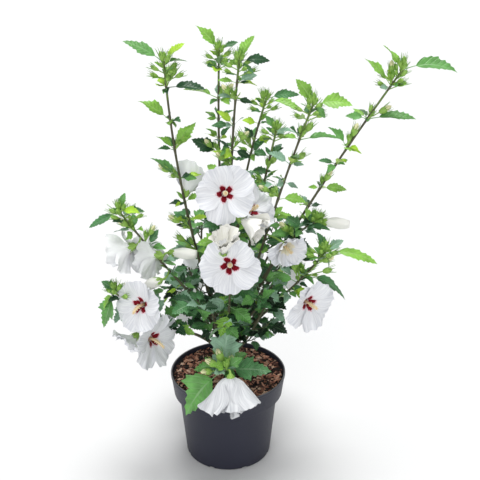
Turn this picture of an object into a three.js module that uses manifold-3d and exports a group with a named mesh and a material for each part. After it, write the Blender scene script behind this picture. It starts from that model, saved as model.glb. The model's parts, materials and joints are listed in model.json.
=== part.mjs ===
// A flowering hibiscus shrub (rose of Sharon) in its round nursery pot.
// Units are millimetres, +Z is up and -Y is the front. The origin is the middle of the pot's underside.
// The pot holds a root ball. A short trunk stands on it and forks into boughs, and each bough ends
// where it enters a mass: one leafy shoot with its twigs, leaves, buds and flowers fused to it.
import * as THREE from 'three';
import { mergeVertices } from 'three/addons/utils/BufferGeometryUtils.js';
import Module from 'manifold-3d';

const wasm = await Module();
wasm.setup();

// Driving dimensions.
const CLEARANCE = 0.3;             // between two pieces that meet
const POT_HEIGHT = 150;
const POT_TOP_RADIUS = 95;         // outside, at the rim
const POT_COLLAR_HEIGHT = 37;      // the wide band under the rim
const POT_COLLAR_DRAFT = 5;        // how much narrower the band is at its lower edge
const POT_STEP = 8;                // how far the body is set in under the band
const POT_BASE_RADIUS = 71;
const POT_EDGE = 4;                // rounding of the bottom edge
const POT_WALL = 2.4;
const POT_SIDES = 32;
const DRAIN_COUNT = 8;
const DRAIN_WIDTH = 9;
const DRAIN_HEIGHT = 6;
const SOIL_TOP = 144;              // under the trunk
const SOIL_DIP = 2.5;              // the soil is lower halfway to the wall
const SOIL_DIP_RADIUS = 52;
const SOIL_SEAT_RADIUS = 20;       // level patch that the trunk stands on
const FLARE_RADIUS = 12.5;         // trunk at the soil
const TRUNK_RADIUS = 7.6;          // trunk above its flare
const FORK_RADIUS = 5.6;           // trunk where it forks
const FLARE_HEIGHT = 0.3;          // share of the trunk's length
const BOUGH_RADIUS = 4.2;          // the usual bough, where it leaves its parent
const ENTRY_RADIUS = 2.1;          // the usual bough, where it enters its mass
const TIP_RADIUS = 1.5;            // the end of a shoot
const STEM_RINGS = 5;              // straight lengths that a shoot's bent stem is made of
const TWIG_RINGS = 2;
const TWIG_RADIUS = 1.4;
const TWIG_TIP_RADIUS = 1.1;
const STALK_RADIUS = 0.9;          // bud stalks
const PEDICEL_RADIUS = 1.4;        // flower stalks
const LEAF_WIDTH = 0.36;           // half of the blade's width, as a share of the leaf's length
const LEAF_KEEL = 0.045;           // depth of the blade at its rib, as a share of its length
const LEAF_STALK = 0.24;           // the leaf's stalk, as a share of its length
const LEAF_WIDEST = 0.4;           // where the blade is widest, from its foot to its tip
const LEAF_DROOP = 28;             // degrees that the usual leaf bends down from foot to tip
const LEAF_ROLL = 34;              // degrees that side leaves turn their upper face to the front
const BUD_LENGTH = 13;
const BUD_RADIUS = 4.4;
const BUD_FATTEST = 0.45;          // where a bud is fattest, as a share of its length
const CALYX_LENGTH = 14;
const CALYX_RADIUS = 8;
const PETAL_LENGTH = 42;
const PETAL_NOTCH = 0.84;          // radius between two petals, as a share of the rim's
const THROAT_RADIUS = 4;
const COLUMN_LENGTH = 24;          // the pale column in the middle of a flower
const COLUMN_RADIUS = 3.2;
const HIDES_COLUMN = 40;           // petals that lean out no further than this furl round the column
const FURLED_FATTEST = 0.7;        // where a furled flower is fattest, as a share of its length
const FURLED_END = 0.55;           // its radius at its blunt end, as a share of the fattest
const TIP_INSET = 0.004;           // from a shoot's end to its last leaves, as a share of its length
const TIP_SPACING = 0.012;         // between the buds at the end of a shoot, as a share of its length
const GOLDEN_ANGLE = 137.5;

// Side twigs: the share of a mass's stem where the first can grow and the share they spread over,
// their least lift and its range, the least share of their full reach, and how far they sag at first
// and rise at their end, in degrees.
const TWIG_RULE = { from: 0.3, over: 0.68, lift: 5, liftRange: 35, leastReach: 0.6, sag: 8, rise: 12 };
const LEAST_LEAF = 0.66;           // the smallest leaf of a twig, as a share of its greatest length

// The leaves of a side twig: where each grows, which way it turns, how it tilts, its greatest length.
const TWIG_LEAVES = [
  { place: 0.5, turn: 62, tilt: -5, length: 46 },
  { place: 0.78, turn: -58, tilt: 0, length: 46 },
  { place: 0.95, turn: 8, tilt: -10, length: 48 },
];

const rad = THREE.MathUtils.degToRad;
const UP = new THREE.Vector3(0, 0, 1);
const vec = (point) => new THREE.Vector3(...point);

// ---------- the plant's plan ----------

// A shoot starts on its parent's axis, at a share of the parent's length, and follows one bend
// through two guide points to its end. Up to "enters" it is a bough; past it, it is a mass.
// leaves and tipLeaves: [place, azimuth, lift, length, droop], with azimuth 0 to the right (+X) and
//   90 to the back, and lift up from level, in degrees; a tip leaf has no place, as it is at the end.
// buds: [place, azimuth, lift, stalk]. flowers: on = place, eye = middle of the flower, faces =
//   the way it looks, open = how far its petals lean out from its axis.
// twigs: how many side twigs the seeded rule adds, reach: how long the longest of them is.
const SHOOTS = {
  centre_tall: {
    from: 'trunk', at: 1, guides: [[4, 10, 320], [0, 15, 500]], end: [19, 20, 662], enters: 0.52,
    leaves: [[0.93, 170, 20, 30], [0.878, 0, 5, 26], [0.8, 250, 25, 34], [0.725, 0, -12, 32],
      [0.693, 160, 30, 38], [0.62, 20, 30, 42], [0.57, 200, 20, 44]],
    tipLeaves: [[0, 14, 46], [40, 63, 45], [330, -20, 30]],
    buds: [[0.878, 200, 50, 15], [0.725, 20, 45, 20], [0.67, 180, 45, 15]],
    tipBuds: 2,
  },
  left_tall: {
    from: 'trunk', at: 0.76, guides: [[-36, 0, 300], [-80, -12, 480]], end: [-88, -20, 668],
    enters: 0.4,
    leaves: [[0.932, 0, 10, 58], [0.843, 180, 46, 56], [0.76, 0, 67, 54], [0.675, 180, 50, 56],
      [0.6, 0, 45, 28], [0.54, 0, 25, 30], [0.435, 180, 5, 42]],
    tipLeaves: [[180, 42, 66], [30, 50, 42], [10, 15, 34]],
    buds: [[0.932, 10, 65, 18], [0.76, 0, 50, 16], [0.675, 180, 35, 20], [0.51, 185, 35, 22],
      [0.435, 180, 40, 25]],
    tipBuds: 2,
    flowers: [{ on: 0.6, eye: [-61, 1, 467], faces: [0.31, 0.68, 0.67], open: 40, petal: 48 }],
  },
  right_tall: {
    from: 'trunk', at: 0.7, guides: [[34, -8, 290], [66, -24, 445]], end: [124, -42, 612],
    enters: 0.46,
    leaves: [[0.89, 0, 15, 62], [0.81, 180, 43, 38], [0.75, 0, -10, 24], [0.69, 0, 15, 44, 45],
      [0.62, 190, 25, 34], [0.54, 20, 20, 46], [0.49, 200, 0, 44]],
    tipLeaves: [[180, 70, 46], [0, 22, 58, 45], [330, -25, 26]],
    buds: [[0.89, 20, 50, 16], [0.81, 0, 40, 14], [0.7, 180, 30, 18]],
    tipBuds: 2,
    flowers: [{ on: 0.56, eye: [88, -60, 399], faces: [0.36, -0.93, -0.1], open: 52, petal: 36 }],
  },
  mid_right: {
    from: 'trunk', at: 0.9, guides: [[20, 22, 300], [50, 38, 430]], end: [76, 50, 548], enters: 0.5,
    leaves: [[0.878, 180, 35, 28], [0.777, 180, 50, 30], [0.72, 10, 20, 34], [0.64, 60, 25, 40],
      [0.58, 20, 5, 44]],
    tipLeaves: [[150, 60, 30], [290, 20, 32], [0, 5, 34]],
    buds: [[0.82, 10, 60, 14], [0.77, 180, 25, 16]],
    tipBuds: 2,
  },
  rear_left: {
    from: 'centre_tall', at: 0.1, guides: [[-6, 44, 320], [-18, 76, 480]], end: [-12, 82, 664],
    enters: 0.5,
    leaves: [[0.95, 60, 30, 32], [0.863, 180, 28, 57], [0.8, 0, 45, 30], [0.74, 20, 55, 28],
      [0.688, 185, 46, 52], [0.62, 120, 20, 44], [0.56, 60, 10, 46]],
    tipLeaves: [[180, 62, 54], [20, 35, 34], [250, 30, 28]],
    buds: [[0.863, 0, 45, 14], [0.688, 200, 50, 20]],
    tipBuds: 2,
  },
  rear_right: {
    from: 'mid_right', at: 0.12, guides: [[8, 62, 320], [12, 96, 424]], end: [62, 110, 582],
    enters: 0.5,
    leaves: [[0.912, 200, 30, 30], [0.845, 20, 20, 34], [0.8, 150, 30, 32], [0.72, 0, 20, 42],
      [0.64, 120, 10, 46], [0.57, 40, 5, 48]],
    tipLeaves: [[180, 5, 28], [10, 25, 56, 40], [340, 0, 60, 30]],
    buds: [[0.82, 150, 45, 20]],
    tipBuds: 2,
  },
  far_right: {
    from: 'right_tall', at: 0.09, guides: [[46, -5, 300], [118, 4, 442]], end: [258, 10, 652],
    enters: 0.5,
    leaves: [[0.958, 180, 58, 60], [0.875, 0, 12, 74, 25], [0.797, 180, 60, 45], [0.75, 180, 25, 28],
      [0.675, 0, 10, 42], [0.613, 180, 70, 26], [0.55, 30, 0, 44]],
    tipLeaves: [[180, 63, 48], [0, 24, 84, 55], [90, 40, 28]],
    buds: [[0.958, 90, 80, 18], [0.875, 0, 30, 20], [0.797, 0, 70, 20], [0.675, 0, 60, 15]],
    tipBuds: 2,
  },
  left: {
    from: 'left_tall', at: 0.08, guides: [[-40, -28, 290], [-84, -46, 340]], end: [-160, -48, 452],
    enters: 0.42,
    leaves: [[0.9, 100, 50, 30], [0.8, 60, 50, 34], [0.7, 100, 20, 40], [0.62, 90, -10, 44],
      [0.52, 200, -30, 42], [0.46, 60, 20, 40]],
    tipLeaves: [[60, 70, 30], [10, 10, 38], [180, -24, 54, 10], [330, 30, 40, 50]],
    buds: [[0.9, 200, 40, 14], [0.83, 0, 60, 15]],
    tipBuds: 2,
    flowers: [{ on: 0.86, eye: [-147, -57, 396], faces: [-0.88, 0.21, -0.43], open: 62 },
      { on: 0.72, eye: [-109, -43, 379], faces: [-0.84, 0.53, -0.11], open: 58 },
      { on: 0.64, eye: [-110, -61, 340], faces: [-0.93, -0.05, -0.37], open: 0, petal: 24 },
      { on: 0.7, eye: [-78, -32, 376], faces: [1, -0.1, 0], open: 0 }],
  },
  left_low: {
    from: 'trunk', at: 0.42, guides: [[-50, -36, 268], [-92, -66, 234]], end: [-169, -80, 335],
    enters: 0.36,
    leaves: [[0.9, 190, -35, 38], [0.84, 100, 40, 36], [0.7, 100, 66, 54], [0.62, 60, 50, 44],
      [0.55, 190, 25, 34], [0.42, 60, 30, 40]],
    tipLeaves: [[185, -45, 36], [196, -66, 62, 10], [150, 40, 28]],
    buds: [[0.9, 120, 60, 14]],
    tipBuds: 2,
    flowers: [{ on: 0.86, eye: [-128, -94, 319], faces: [-0.44, -0.85, 0.3], open: 74 },
      { on: 0.72, eye: [-114, -86, 257], faces: [0.8, -0.59, 0.09], open: 72, petal: 48 },
      { on: 0.8, eye: [-146, -72, 248], faces: [-0.6, -0.5, -0.6], open: 50, petal: 32 }],
  },
  right: {
    from: 'trunk', at: 0.5, guides: [[44, -18, 262], [96, -50, 312]], end: [148, -60, 391],
    enters: 0.4,
    leaves: [[0.92, 60, 40, 32], [0.8, 5, -4, 84, 60], [0.74, 150, 20, 44, 40], [0.66, 120, 30, 40],
      [0.56, 60, 0, 44], [0.5, 300, -10, 42], [0.44, 120, 25, 44]],
    tipLeaves: [[0, 8, 84, 44], [180, 80, 36], [20, 40, 34], [300, -50, 24]],
    buds: [[0.9, 340, 30, 15], [0.8, 180, 50, 14], [0.8, 0, 15, 30], [0.8, 200, 60, 20],
      [0.75, 230, 70, 24]],
    tipBuds: 2,
    flowers: [{ on: 0.7, eye: [122, -86, 319], faces: [0.55, -0.83, 0.03], open: 70, petal: 46 }],
  },
  right_mid: {
    from: 'far_right', at: 0.3, guides: [[66, -14, 340], [94, -18, 404]], end: [138, -8, 419],
    enters: 0.4,
    leaves: [[0.9, 270, 40, 26], [0.82, 170, 50, 34], [0.7, 300, -40, 34], [0.62, 180, 15, 36],
      [0.52, 60, 10, 40]],
    tipLeaves: [[90, 20, 30]],
    buds: [[0.7, 190, 50, 15]],
    tipBuds: 0,
    flowers: [{ on: 1, eye: [156, -10, 418], faces: [0.97, -0.1, -0.05], open: 0 }],
  },
  centre_front_high: {
    from: 'centre_tall', at: 0.14, guides: [[-2, -34, 300], [-4, -54, 400]], end: [-2, -40, 470],
    enters: 0.5,
    leaves: [[0.9, 180, 30, 38], [0.8, 30, 30, 40], [0.7, 190, 10, 44], [0.6, 0, 0, 44]],
    tipLeaves: [[80, 50, 32], [170, 40, 34], [20, 40, 34]],
    buds: [[0.95, 60, 50, 14], [0.85, 170, 50, 15]],
    tipBuds: 0,
    flowers: [{ on: 0.97, eye: [-2, -72, 488], faces: [0.08, -0.93, 0.35], open: 76, petal: 46 },
      { on: 0.9, eye: [36, -46, 452], faces: [0.55, -0.45, 0.6], open: 60 },
      { on: 0.82, eye: [26, -76, 447], faces: [0.75, -0.35, -0.3], open: 22 }],
  },
  centre_front_low: {
    from: 'trunk', at: 0.8, guides: [[2, -45, 262], [4, -74, 318]], end: [6, -74, 376], enters: 0.42,
    leaves: [[0.85, 190, 10, 40], [0.75, 350, 0, 44], [0.65, 210, -10, 46], [0.55, 330, -15, 46],
      [0.48, 250, -20, 46]],
    tipLeaves: [[60, 30, 36], [130, 20, 38]],
    buds: [[0.9, 10, 30, 20], [0.8, 200, 30, 20]],
    tipBuds: 0,
    flowers: [{ on: 0.95, eye: [5, -100, 387], faces: [0.03, -0.95, 0.32], open: 76, petal: 44 },
      { on: 0.98, eye: [-4, -101, 412], faces: [0, -0.4, 0.9], open: 18 }],
  },
  core_left: {
    from: 'trunk', at: 0.93, guides: [[-24, -16, 240], [-46, -20, 276]], end: [-62, -18, 312],
    enters: 0, twigs: 5, reach: 46, seed: 11,
  },
  core_front: {
    from: 'trunk', at: 0.7, guides: [[-10, -36, 222], [-20, -56, 262]], end: [-26, -66, 308],
    enters: 0, twigs: 5, reach: 46, seed: 23,
  },
  core_right: {
    from: 'trunk', at: 0.86, guides: [[26, -14, 244], [50, -26, 280]], end: [70, -34, 322],
    enters: 0, twigs: 5, reach: 46, seed: 37,
  },
  core_low_right: {
    from: 'trunk', at: 0.3, guides: [[22, -22, 204], [42, -40, 246]], end: [64, -56, 310],
    enters: 0, twigs: 5, reach: 40, seed: 41,
  },
  front_low: {
    from: 'trunk', at: 0.32, guides: [[-6, -44, 190], [-10, -88, 196]], end: [0, -118, 222],
    enters: 0,
    leaves: [[0.7, 200, -28, 96, 40], [0.5, 200, 20, 50], [0.7, 60, 86, 84, 24], [0.8, 352, 14, 74, 22],
      [0.5, 30, 30, 46]],
    tipLeaves: [[200, 40, 30], [20, 45, 30]],
    buds: [[0.95, 170, 25, 16], [0.92, 125, 50, 15], [0.99, 70, 25, 8], [0.82, 195, 5, 20]],
    tipBuds: 2,
    flowers: [{ on: 0.98, eye: [6, -136, 211], faces: [0.05, -0.3, -0.95], open: 40, petal: 60 }],
  },
  back_mid: {
    from: 'trunk', at: 0.66, guides: [[2, 54, 250], [4, 104, 320]], end: [6, 140, 398], enters: 0.34,
    twigs: 6, reach: 50, seed: 53,
    flowers: [{ on: 0.9, eye: [0, 178, 386], faces: [-0.1, 0.95, 0.25], open: 72 },
      { on: 0.7, eye: [23, 158, 291], faces: [0.1, 0.85, -0.2], open: 62 }],
  },
  back_left: {
    from: 'back_mid', at: 0.14, guides: [[-34, 60, 262], [-50, 96, 310]], end: [-44, 112, 366],
    enters: 0.34, twigs: 5, reach: 46, seed: 67,
    flowers: [{ on: 0.8, eye: [-46, 150, 256], faces: [-0.45, 0.85, 0.2], open: 70 }],
  },
  back_right: {
    from: 'back_mid', at: 0.22, guides: [[44, 70, 274], [78, 92, 320]], end: [82, 106, 372],
    enters: 0.34, twigs: 5, reach: 46, seed: 71,
    flowers: [{ on: 0.8, eye: [92, 142, 266], faces: [0.55, 0.8, 0.2], open: 68 }],
  },
  core_back_left: {
    from: 'trunk', at: 0.4, guides: [[-20, 30, 210], [-48, 58, 250]], end: [-66, 76, 302],
    enters: 0, twigs: 5, reach: 46, seed: 83,
    flowers: [{ on: 0.9, eye: [-62, 118, 208], faces: [-0.5, 0.85, 0], open: 62 }],
  },
  core_back_right: {
    from: 'trunk', at: 0.5, guides: [[22, 26, 226], [56, 50, 268]], end: [86, 64, 318],
    enters: 0, twigs: 5, reach: 46, seed: 97,
  },
};

// ---------- solids ----------

// The solid of a closed geometry: only positions are kept, shared vertices are joined, and the
// triangles that a pole squeezes flat are left out.
function solidOf(geometry) {
  const bare = new THREE.BufferGeometry();
  bare.setAttribute('position', geometry.getAttribute('position').clone());
  bare.setIndex(geometry.index);
  const joined = mergeVertices(bare, 1e-3);
  const corners = joined.index.array;
  const triVerts = [];
  for (let i = 0; i < corners.length; i += 3) {
    const [a, b, c] = [corners[i], corners[i + 1], corners[i + 2]];
    if (a !== b && b !== c && c !== a) triVerts.push(a, b, c);
  }
  return new wasm.Manifold(new wasm.Mesh({
    numProp: 3,
    vertProperties: new Float32Array(joined.getAttribute('position').array),
    triVerts: new Uint32Array(triVerts),
  }));
}

function geometryOf(solid) {
  const mesh = solid.getMesh();
  const geometry = new THREE.BufferGeometry();
  geometry.setAttribute('position', new THREE.BufferAttribute(new Float32Array(mesh.vertProperties), 3));
  geometry.setIndex(new THREE.BufferAttribute(new Uint32Array(mesh.triVerts), 1));
  return geometry;
}

// Moves each vertex of a geometry to where the given function puts it.
function reshape(geometry, place) {
  const position = geometry.getAttribute('position');
  for (let i = 0; i < position.count; i += 1) {
    const spot = place(position.getX(i), position.getY(i), position.getZ(i));
    position.setXYZ(i, spot.x, spot.y, spot.z);
  }
  return geometry;
}

function largestPiece(solid) {
  const pieces = solid.decompose();
  return pieces.reduce((best, piece) => (piece.volume() > best.volume() ? piece : best));
}

// A small generator of even random numbers that gives the same plant each time.
function seededRandom(seed) {
  let state = seed;
  return () => {
    state = (state * 1664525 + 1013904223) % 4294967296;
    return state / 4294967296;
  };
}

// Unit vector at an azimuth and a lift, in degrees.
function heading(azimuth, lift) {
  const [a, b] = [rad(azimuth), rad(lift)];
  return new THREE.Vector3(Math.cos(a) * Math.cos(b), Math.sin(a) * Math.cos(b), Math.sin(b));
}

// The level axis that a direction is further from.
const guideFor = (direction) => (
  Math.abs(direction.y) > 0.7 ? new THREE.Vector3(1, 0, 0) : new THREE.Vector3(0, 1, 0));

// Two directions across a line, which with it make a right-handed set for a lathe or cylinder
// whose own axis is Y.
function across(direction, guide = guideFor(direction)) {
  const first = guide.clone().cross(direction).normalize();
  return [first, first.clone().cross(direction)];
}

// A tapering limb along a curve between two places on it, fatter by "extra" all round.
function limb(curve, start, end, radiusAt, sides, rings, extra = 0) {
  const rod = new THREE.CylinderGeometry(1, 1, 1, sides, rings);
  const guide = guideFor(curve.getPoint(1).sub(curve.getPoint(0)).normalize());
  return solidOf(reshape(rod, (x, y, z) => {
    const share = y + 0.5;
    const place = start + (end - start) * share;
    const tangent = curve.getTangent(place);
    const [side, other] = across(tangent, guide);
    const radius = radiusAt(share) + extra;
    const overrun = (share === 0 || share === 1) ? extra * Math.sign(y) : 0;
    return curve.getPoint(place).addScaledVector(tangent, overrun)
      .addScaledVector(side, x * radius).addScaledVector(other, z * radius);
  }));
}

// The middle of a faceted limb at a place on its curve: on the straight between two of its rings.
function middleOf(curve, start, rings, place) {
  const step = (1 - start) / rings;
  const before = Math.min(Math.max(Math.floor((place - start) / step), 0), rings - 1);
  const from = curve.getPoint(start + before * step);
  return from.lerp(curve.getPoint(start + (before + 1) * step), (place - start) / step - before);
}

const taper = (from, to) => (share) => from + (to - from) * share;

// ---------- pot and root ball ----------

const spin = (outline) => new THREE.LatheGeometry(
  outline.map(([radius, height]) => new THREE.Vector2(radius, height)), POT_SIDES).rotateX(Math.PI / 2);

const COLLAR_BOTTOM = POT_HEIGHT - POT_COLLAR_HEIGHT;
const COLLAR_BOTTOM_RADIUS = POT_TOP_RADIUS - POT_COLLAR_DRAFT;
const BODY_TOP_RADIUS = COLLAR_BOTTOM_RADIUS - POT_STEP;

// Inside radius of the pot at a height above its underside.
function potInside(height) {
  if (height >= COLLAR_BOTTOM + POT_WALL) {
    const share = (POT_HEIGHT - height) / POT_COLLAR_HEIGHT;
    return POT_TOP_RADIUS - POT_WALL - POT_COLLAR_DRAFT * share;
  }
  const share = height / COLLAR_BOTTOM;
  return POT_BASE_RADIUS - POT_WALL + (BODY_TOP_RADIUS - POT_BASE_RADIUS) * share;
}

function pot() {
  let shell = solidOf(spin([
    [0, 0], [POT_BASE_RADIUS - POT_EDGE, 0], [POT_BASE_RADIUS, POT_EDGE],
    [BODY_TOP_RADIUS, COLLAR_BOTTOM], [COLLAR_BOTTOM_RADIUS, COLLAR_BOTTOM],
    [POT_TOP_RADIUS, POT_HEIGHT], [POT_TOP_RADIUS - POT_WALL, POT_HEIGHT],
    [potInside(COLLAR_BOTTOM + POT_WALL), COLLAR_BOTTOM + POT_WALL],
    [BODY_TOP_RADIUS - POT_WALL, COLLAR_BOTTOM + POT_WALL],
    [potInside(POT_WALL), POT_WALL], [0, POT_WALL],
  ]));
  for (let i = 0; i < DRAIN_COUNT; i += 1) {
    const notch = new THREE.BoxGeometry(3 * POT_EDGE, DRAIN_WIDTH, 2 * DRAIN_HEIGHT);
    notch.translate(POT_BASE_RADIUS, 0, 0).rotateZ((i + 0.5) * 2 * Math.PI / DRAIN_COUNT);
    shell = shell.subtract(solidOf(notch));
  }
  return shell;
}

function rootBall() {
  const inset = CLEARANCE / Math.cos(Math.PI / POT_SIDES);
  const foot = POT_WALL + CLEARANCE;
  const shelf = COLLAR_BOTTOM + POT_WALL + CLEARANCE;
  const edgeTop = SOIL_TOP - 1;
  return solidOf(spin([
    [0, foot], [potInside(foot) - inset, foot],
    [BODY_TOP_RADIUS - POT_WALL - inset, COLLAR_BOTTOM], [BODY_TOP_RADIUS - POT_WALL - inset, shelf],
    [potInside(shelf) - inset, shelf], [potInside(edgeTop) - inset, edgeTop],
    [SOIL_DIP_RADIUS, SOIL_TOP - SOIL_DIP], [SOIL_SEAT_RADIUS, SOIL_TOP], [0, SOIL_TOP],
  ]));
}

// ---------- leaves, buds and flowers ----------

// A leaf on its stalk, as a three-sided blade bent down in an arc: two edges and the keel of the
// rib. Its root lies on the axis of the stem, "extra" makes it fatter all round, and one that
// begins at the end of its stalk is the blade alone.
function leaf(root, azimuth, lift, length, droop, roll, extra = 0, begins = 0) {
  const [rise, bend] = [rad(lift), rad(droop)];
  const level = heading(azimuth, 0);
  const crosswise = level.clone().cross(UP);
  const halfWidth = LEAF_WIDTH * length;
  const rings = [
    { place: 0.9 * begins, half: 0.6, keel: 0.9 },
    { place: LEAF_STALK, half: 0.9, keel: 1.3 },
    { place: LEAF_STALK + (1 - LEAF_STALK) * LEAF_WIDEST, half: halfWidth, keel: LEAF_KEEL * length },
    { place: 1, half: 0, keel: 0 },
  ];
  const blade = new THREE.ConeGeometry(1, 1, 3, rings.length - 1);
  return solidOf(reshape(blade, (x, y, z) => {
    const { place, half, keel } = rings[Math.round((y + 0.5) * (rings.length - 1))];
    const turn = rise - bend * place;
    const reach = length / bend;
    const spine = root.clone()
      .addScaledVector(level, reach * (Math.sin(rise) - Math.sin(turn)))
      .addScaledVector(UP, reach * (Math.cos(turn) - Math.cos(rise)));
    const along = level.clone().multiplyScalar(Math.cos(turn)).addScaledVector(UP, Math.sin(turn));
    const side = crosswise.clone().applyAxisAngle(along, rad(roll));
    const top = side.clone().cross(along);
    if (place === 1) return spine.addScaledVector(along, extra);
    if (Math.hypot(x, z) < 1e-6) return spine.addScaledVector(top, -keel / 3);
    const corner = Math.round(((Math.atan2(x, z) / (2 * Math.PI)) * 3 + 3) % 3) % 3;
    if (corner === 0) return spine.addScaledVector(top, -keel - extra);
    const sign = corner === 1 ? -1 : 1;
    return spine.addScaledVector(side, sign * (half + extra)).addScaledVector(top, extra);
  }));
}

// A closed flower bud on its stalk: a slim stalk that swells into the bud and ends in its point.
function bud(root, azimuth, lift, stalk, begins = 0) {
  const out = heading(azimuth, lift);
  const [side, other] = across(out);
  const rings = [
    { height: 0.9 * begins * stalk, radius: STALK_RADIUS },
    { height: stalk, radius: STALK_RADIUS },
    { height: stalk + BUD_FATTEST * BUD_LENGTH, radius: BUD_RADIUS },
    { height: stalk + BUD_LENGTH, radius: 0 },
  ];
  return solidOf(reshape(new THREE.ConeGeometry(1, 1, 3, rings.length - 1), (x, y, z) => {
    const { height, radius } = rings[Math.round((y + 0.5) * (rings.length - 1))];
    const onAxis = Math.hypot(x, z) < 1e-6;
    const turn = Math.atan2(x, z);
    const wide = onAxis ? 0 : radius;
    return root.clone().addScaledVector(out, height)
      .addScaledVector(side, wide * Math.sin(turn)).addScaledVector(other, wide * Math.cos(turn));
  }));
}

// A flower: five petals as one funnel with a notched rim, the column in its middle, the green
// calyx behind it and a stalk down to the stem. One that is not open at all is a long furled bud.
function flower(root, { eye, faces, open, petal = PETAL_LENGTH }) {
  const axis = vec(faces).normalize();
  const base = vec(eye).addScaledVector(axis, -CALYX_LENGTH);
  const [side, other] = across(axis);
  const stand = (geometry) => solidOf(reshape(geometry, (x, y, z) => base.clone()
    .addScaledVector(axis, y).addScaledVector(side, x).addScaledVector(other, z)));
  const profile = (outline) => outline.map(([radius, height]) => new THREE.Vector2(radius, height));
  const lean = rad(open);
  const rim = [THROAT_RADIUS + petal * Math.sin(lean), CALYX_LENGTH - 2 + petal * Math.cos(lean)];
  let bloom;
  if (open === 0) {
    bloom = stand(new THREE.LatheGeometry(profile([
      [0, -2], [CALYX_RADIUS, FURLED_FATTEST * petal], [FURLED_END * CALYX_RADIUS, petal],
      [0, 1.08 * petal]]), 6));
  } else {
    const funnel = new THREE.LatheGeometry(profile([
      [0, -2], [CALYX_RADIUS, 0.5 * CALYX_LENGTH], rim, [0, CALYX_LENGTH - 1]]), 15);
    reshape(funnel, (x, y, z) => {
      const step = Math.round((Math.atan2(x, z) / (2 * Math.PI)) * 15 + 15) % 3;
      const share = step === 0 && y > CALYX_LENGTH ? PETAL_NOTCH : 1;
      return new THREE.Vector3(x * share, y, z * share);
    });
    const column = new THREE.CylinderGeometry(COLUMN_RADIUS, 0.6 * COLUMN_RADIUS, COLUMN_LENGTH, 3);
    column.translate(0, CALYX_LENGTH - 4 + COLUMN_LENGTH / 2, 0);
    bloom = stand(funnel);
    if (open > HIDES_COLUMN) bloom = bloom.add(stand(column));
  }
  const gap = base.distanceTo(root);
  const knee = base.clone().addScaledVector(axis, -0.4 * gap);
  const line = new THREE.QuadraticBezierCurve3(root, knee, base.clone().addScaledVector(axis, 1));
  return limb(line, 0, 1, taper(PEDICEL_RADIUS, 1.3 * PEDICEL_RADIUS), 3, 2).add(bloom);
}

// ---------- growing the plant ----------

const trunkLine = new THREE.CubicBezierCurve3(
  new THREE.Vector3(-3, 3, SOIL_TOP + CLEARANCE), new THREE.Vector3(-3, 3, 164),
  new THREE.Vector3(-2, 1, 190), new THREE.Vector3(0, 2, 214));

function trunkRadius(share) {
  if (share > FLARE_HEIGHT) {
    return TRUNK_RADIUS + (FORK_RADIUS - TRUNK_RADIUS) * (share - FLARE_HEIGHT) / (1 - FLARE_HEIGHT);
  }
  const swell = (1 - share / FLARE_HEIGHT) ** 2;
  return TRUNK_RADIUS + (FLARE_RADIUS - TRUNK_RADIUS) * swell;
}

const lines = { trunk: trunkLine };
const limbs = {
  trunk: {
    solid: limb(trunkLine, 0, 1, trunkRadius, 9, 8),
    cutter: limb(trunkLine, 0, 1, trunkRadius, 9, 8, CLEARANCE),
  },
};

// What is left of a limb once it stays clear of every limb before it.
function clearOfLimbs(solid) {
  const others = Object.values(limbs).reduce((rest, { cutter }) => rest.subtract(cutter), solid);
  return largestPiece(others);
}

for (const [name, shoot] of Object.entries(SHOOTS)) {
  const start = lines[shoot.from].getPoint(shoot.at);
  const [first, second] = shoot.guides.map(vec);
  lines[name] = new THREE.CubicBezierCurve3(start, first, second, vec(shoot.end));
  if (shoot.enters > 0) {
    const radius = taper(shoot.base ?? BOUGH_RADIUS, ENTRY_RADIUS);
    limbs[`bough_${name}`] = {
      solid: clearOfLimbs(limb(lines[name], 0, shoot.enters, radius, 5, 4)),
      cutter: limb(lines[name], 0, shoot.enters, radius, 5, 4, CLEARANCE),
    };
  }
}

// Each mass starts as its stem with its flowers; its core stays while twigs and leaves are added.
const masses = {};
for (const [name, shoot] of Object.entries(SHOOTS)) {
  const line = lines[name];
  const gap = (CLEARANCE + 0.05) / line.getLength();
  const first = shoot.enters > 0 ? ENTRY_RADIUS : ENTRY_RADIUS + 0.9;
  const start = shoot.enters + gap;
  const stem = clearOfLimbs(limb(line, start, 1, taper(first, TIP_RADIUS), 3, STEM_RINGS));
  const at = (place) => middleOf(line, start, STEM_RINGS, place);
  const flowers = (shoot.flowers ?? []).map((spot) => flower(at(spot.on), spot));
  masses[name] = { stem, at, parts: [stem, ...flowers] };
}

function boxesMeet(one, two) {
  const [a, b] = [one.boundingBox(), two.boundingBox()];
  return [0, 1, 2].every((axis) => a.min[axis] < b.max[axis] && b.min[axis] < a.max[axis]);
}

const isClear = (piece, other) => !boxesMeet(piece, other) || piece.intersect(other).isEmpty();

// True if a piece stays clear of every limb and of every other mass, and if its outer part stays
// clear of its own mass too, apart from what it grows on.
function isFree(piece, outerPart, name, host) {
  const others = Object.values(limbs).map(({ solid }) => solid);
  for (const [other, { parts }] of Object.entries(masses)) if (other !== name) others.push(...parts);
  const own = masses[name].parts.filter((part) => part !== host);
  return others.every((other) => isClear(piece, other)) && own.every((part) => isClear(outerPart, part));
}

function addLeaf(name, host, root, azimuth, lift, length, droop = LEAF_DROOP) {
  const shape = [root, azimuth, lift, length, droop, LEAF_ROLL * Math.cos(rad(azimuth))];
  if (isFree(leaf(...shape, CLEARANCE), leaf(...shape, 0, LEAF_STALK), name, host)) {
    masses[name].parts.push(leaf(...shape));
  }
}

function addBud(name, host, root, azimuth, lift, stalk) {
  const piece = bud(root, azimuth, lift, stalk);
  if (isFree(piece, bud(root, azimuth, lift, stalk, 1), name, host)) masses[name].parts.push(piece);
}

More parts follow.
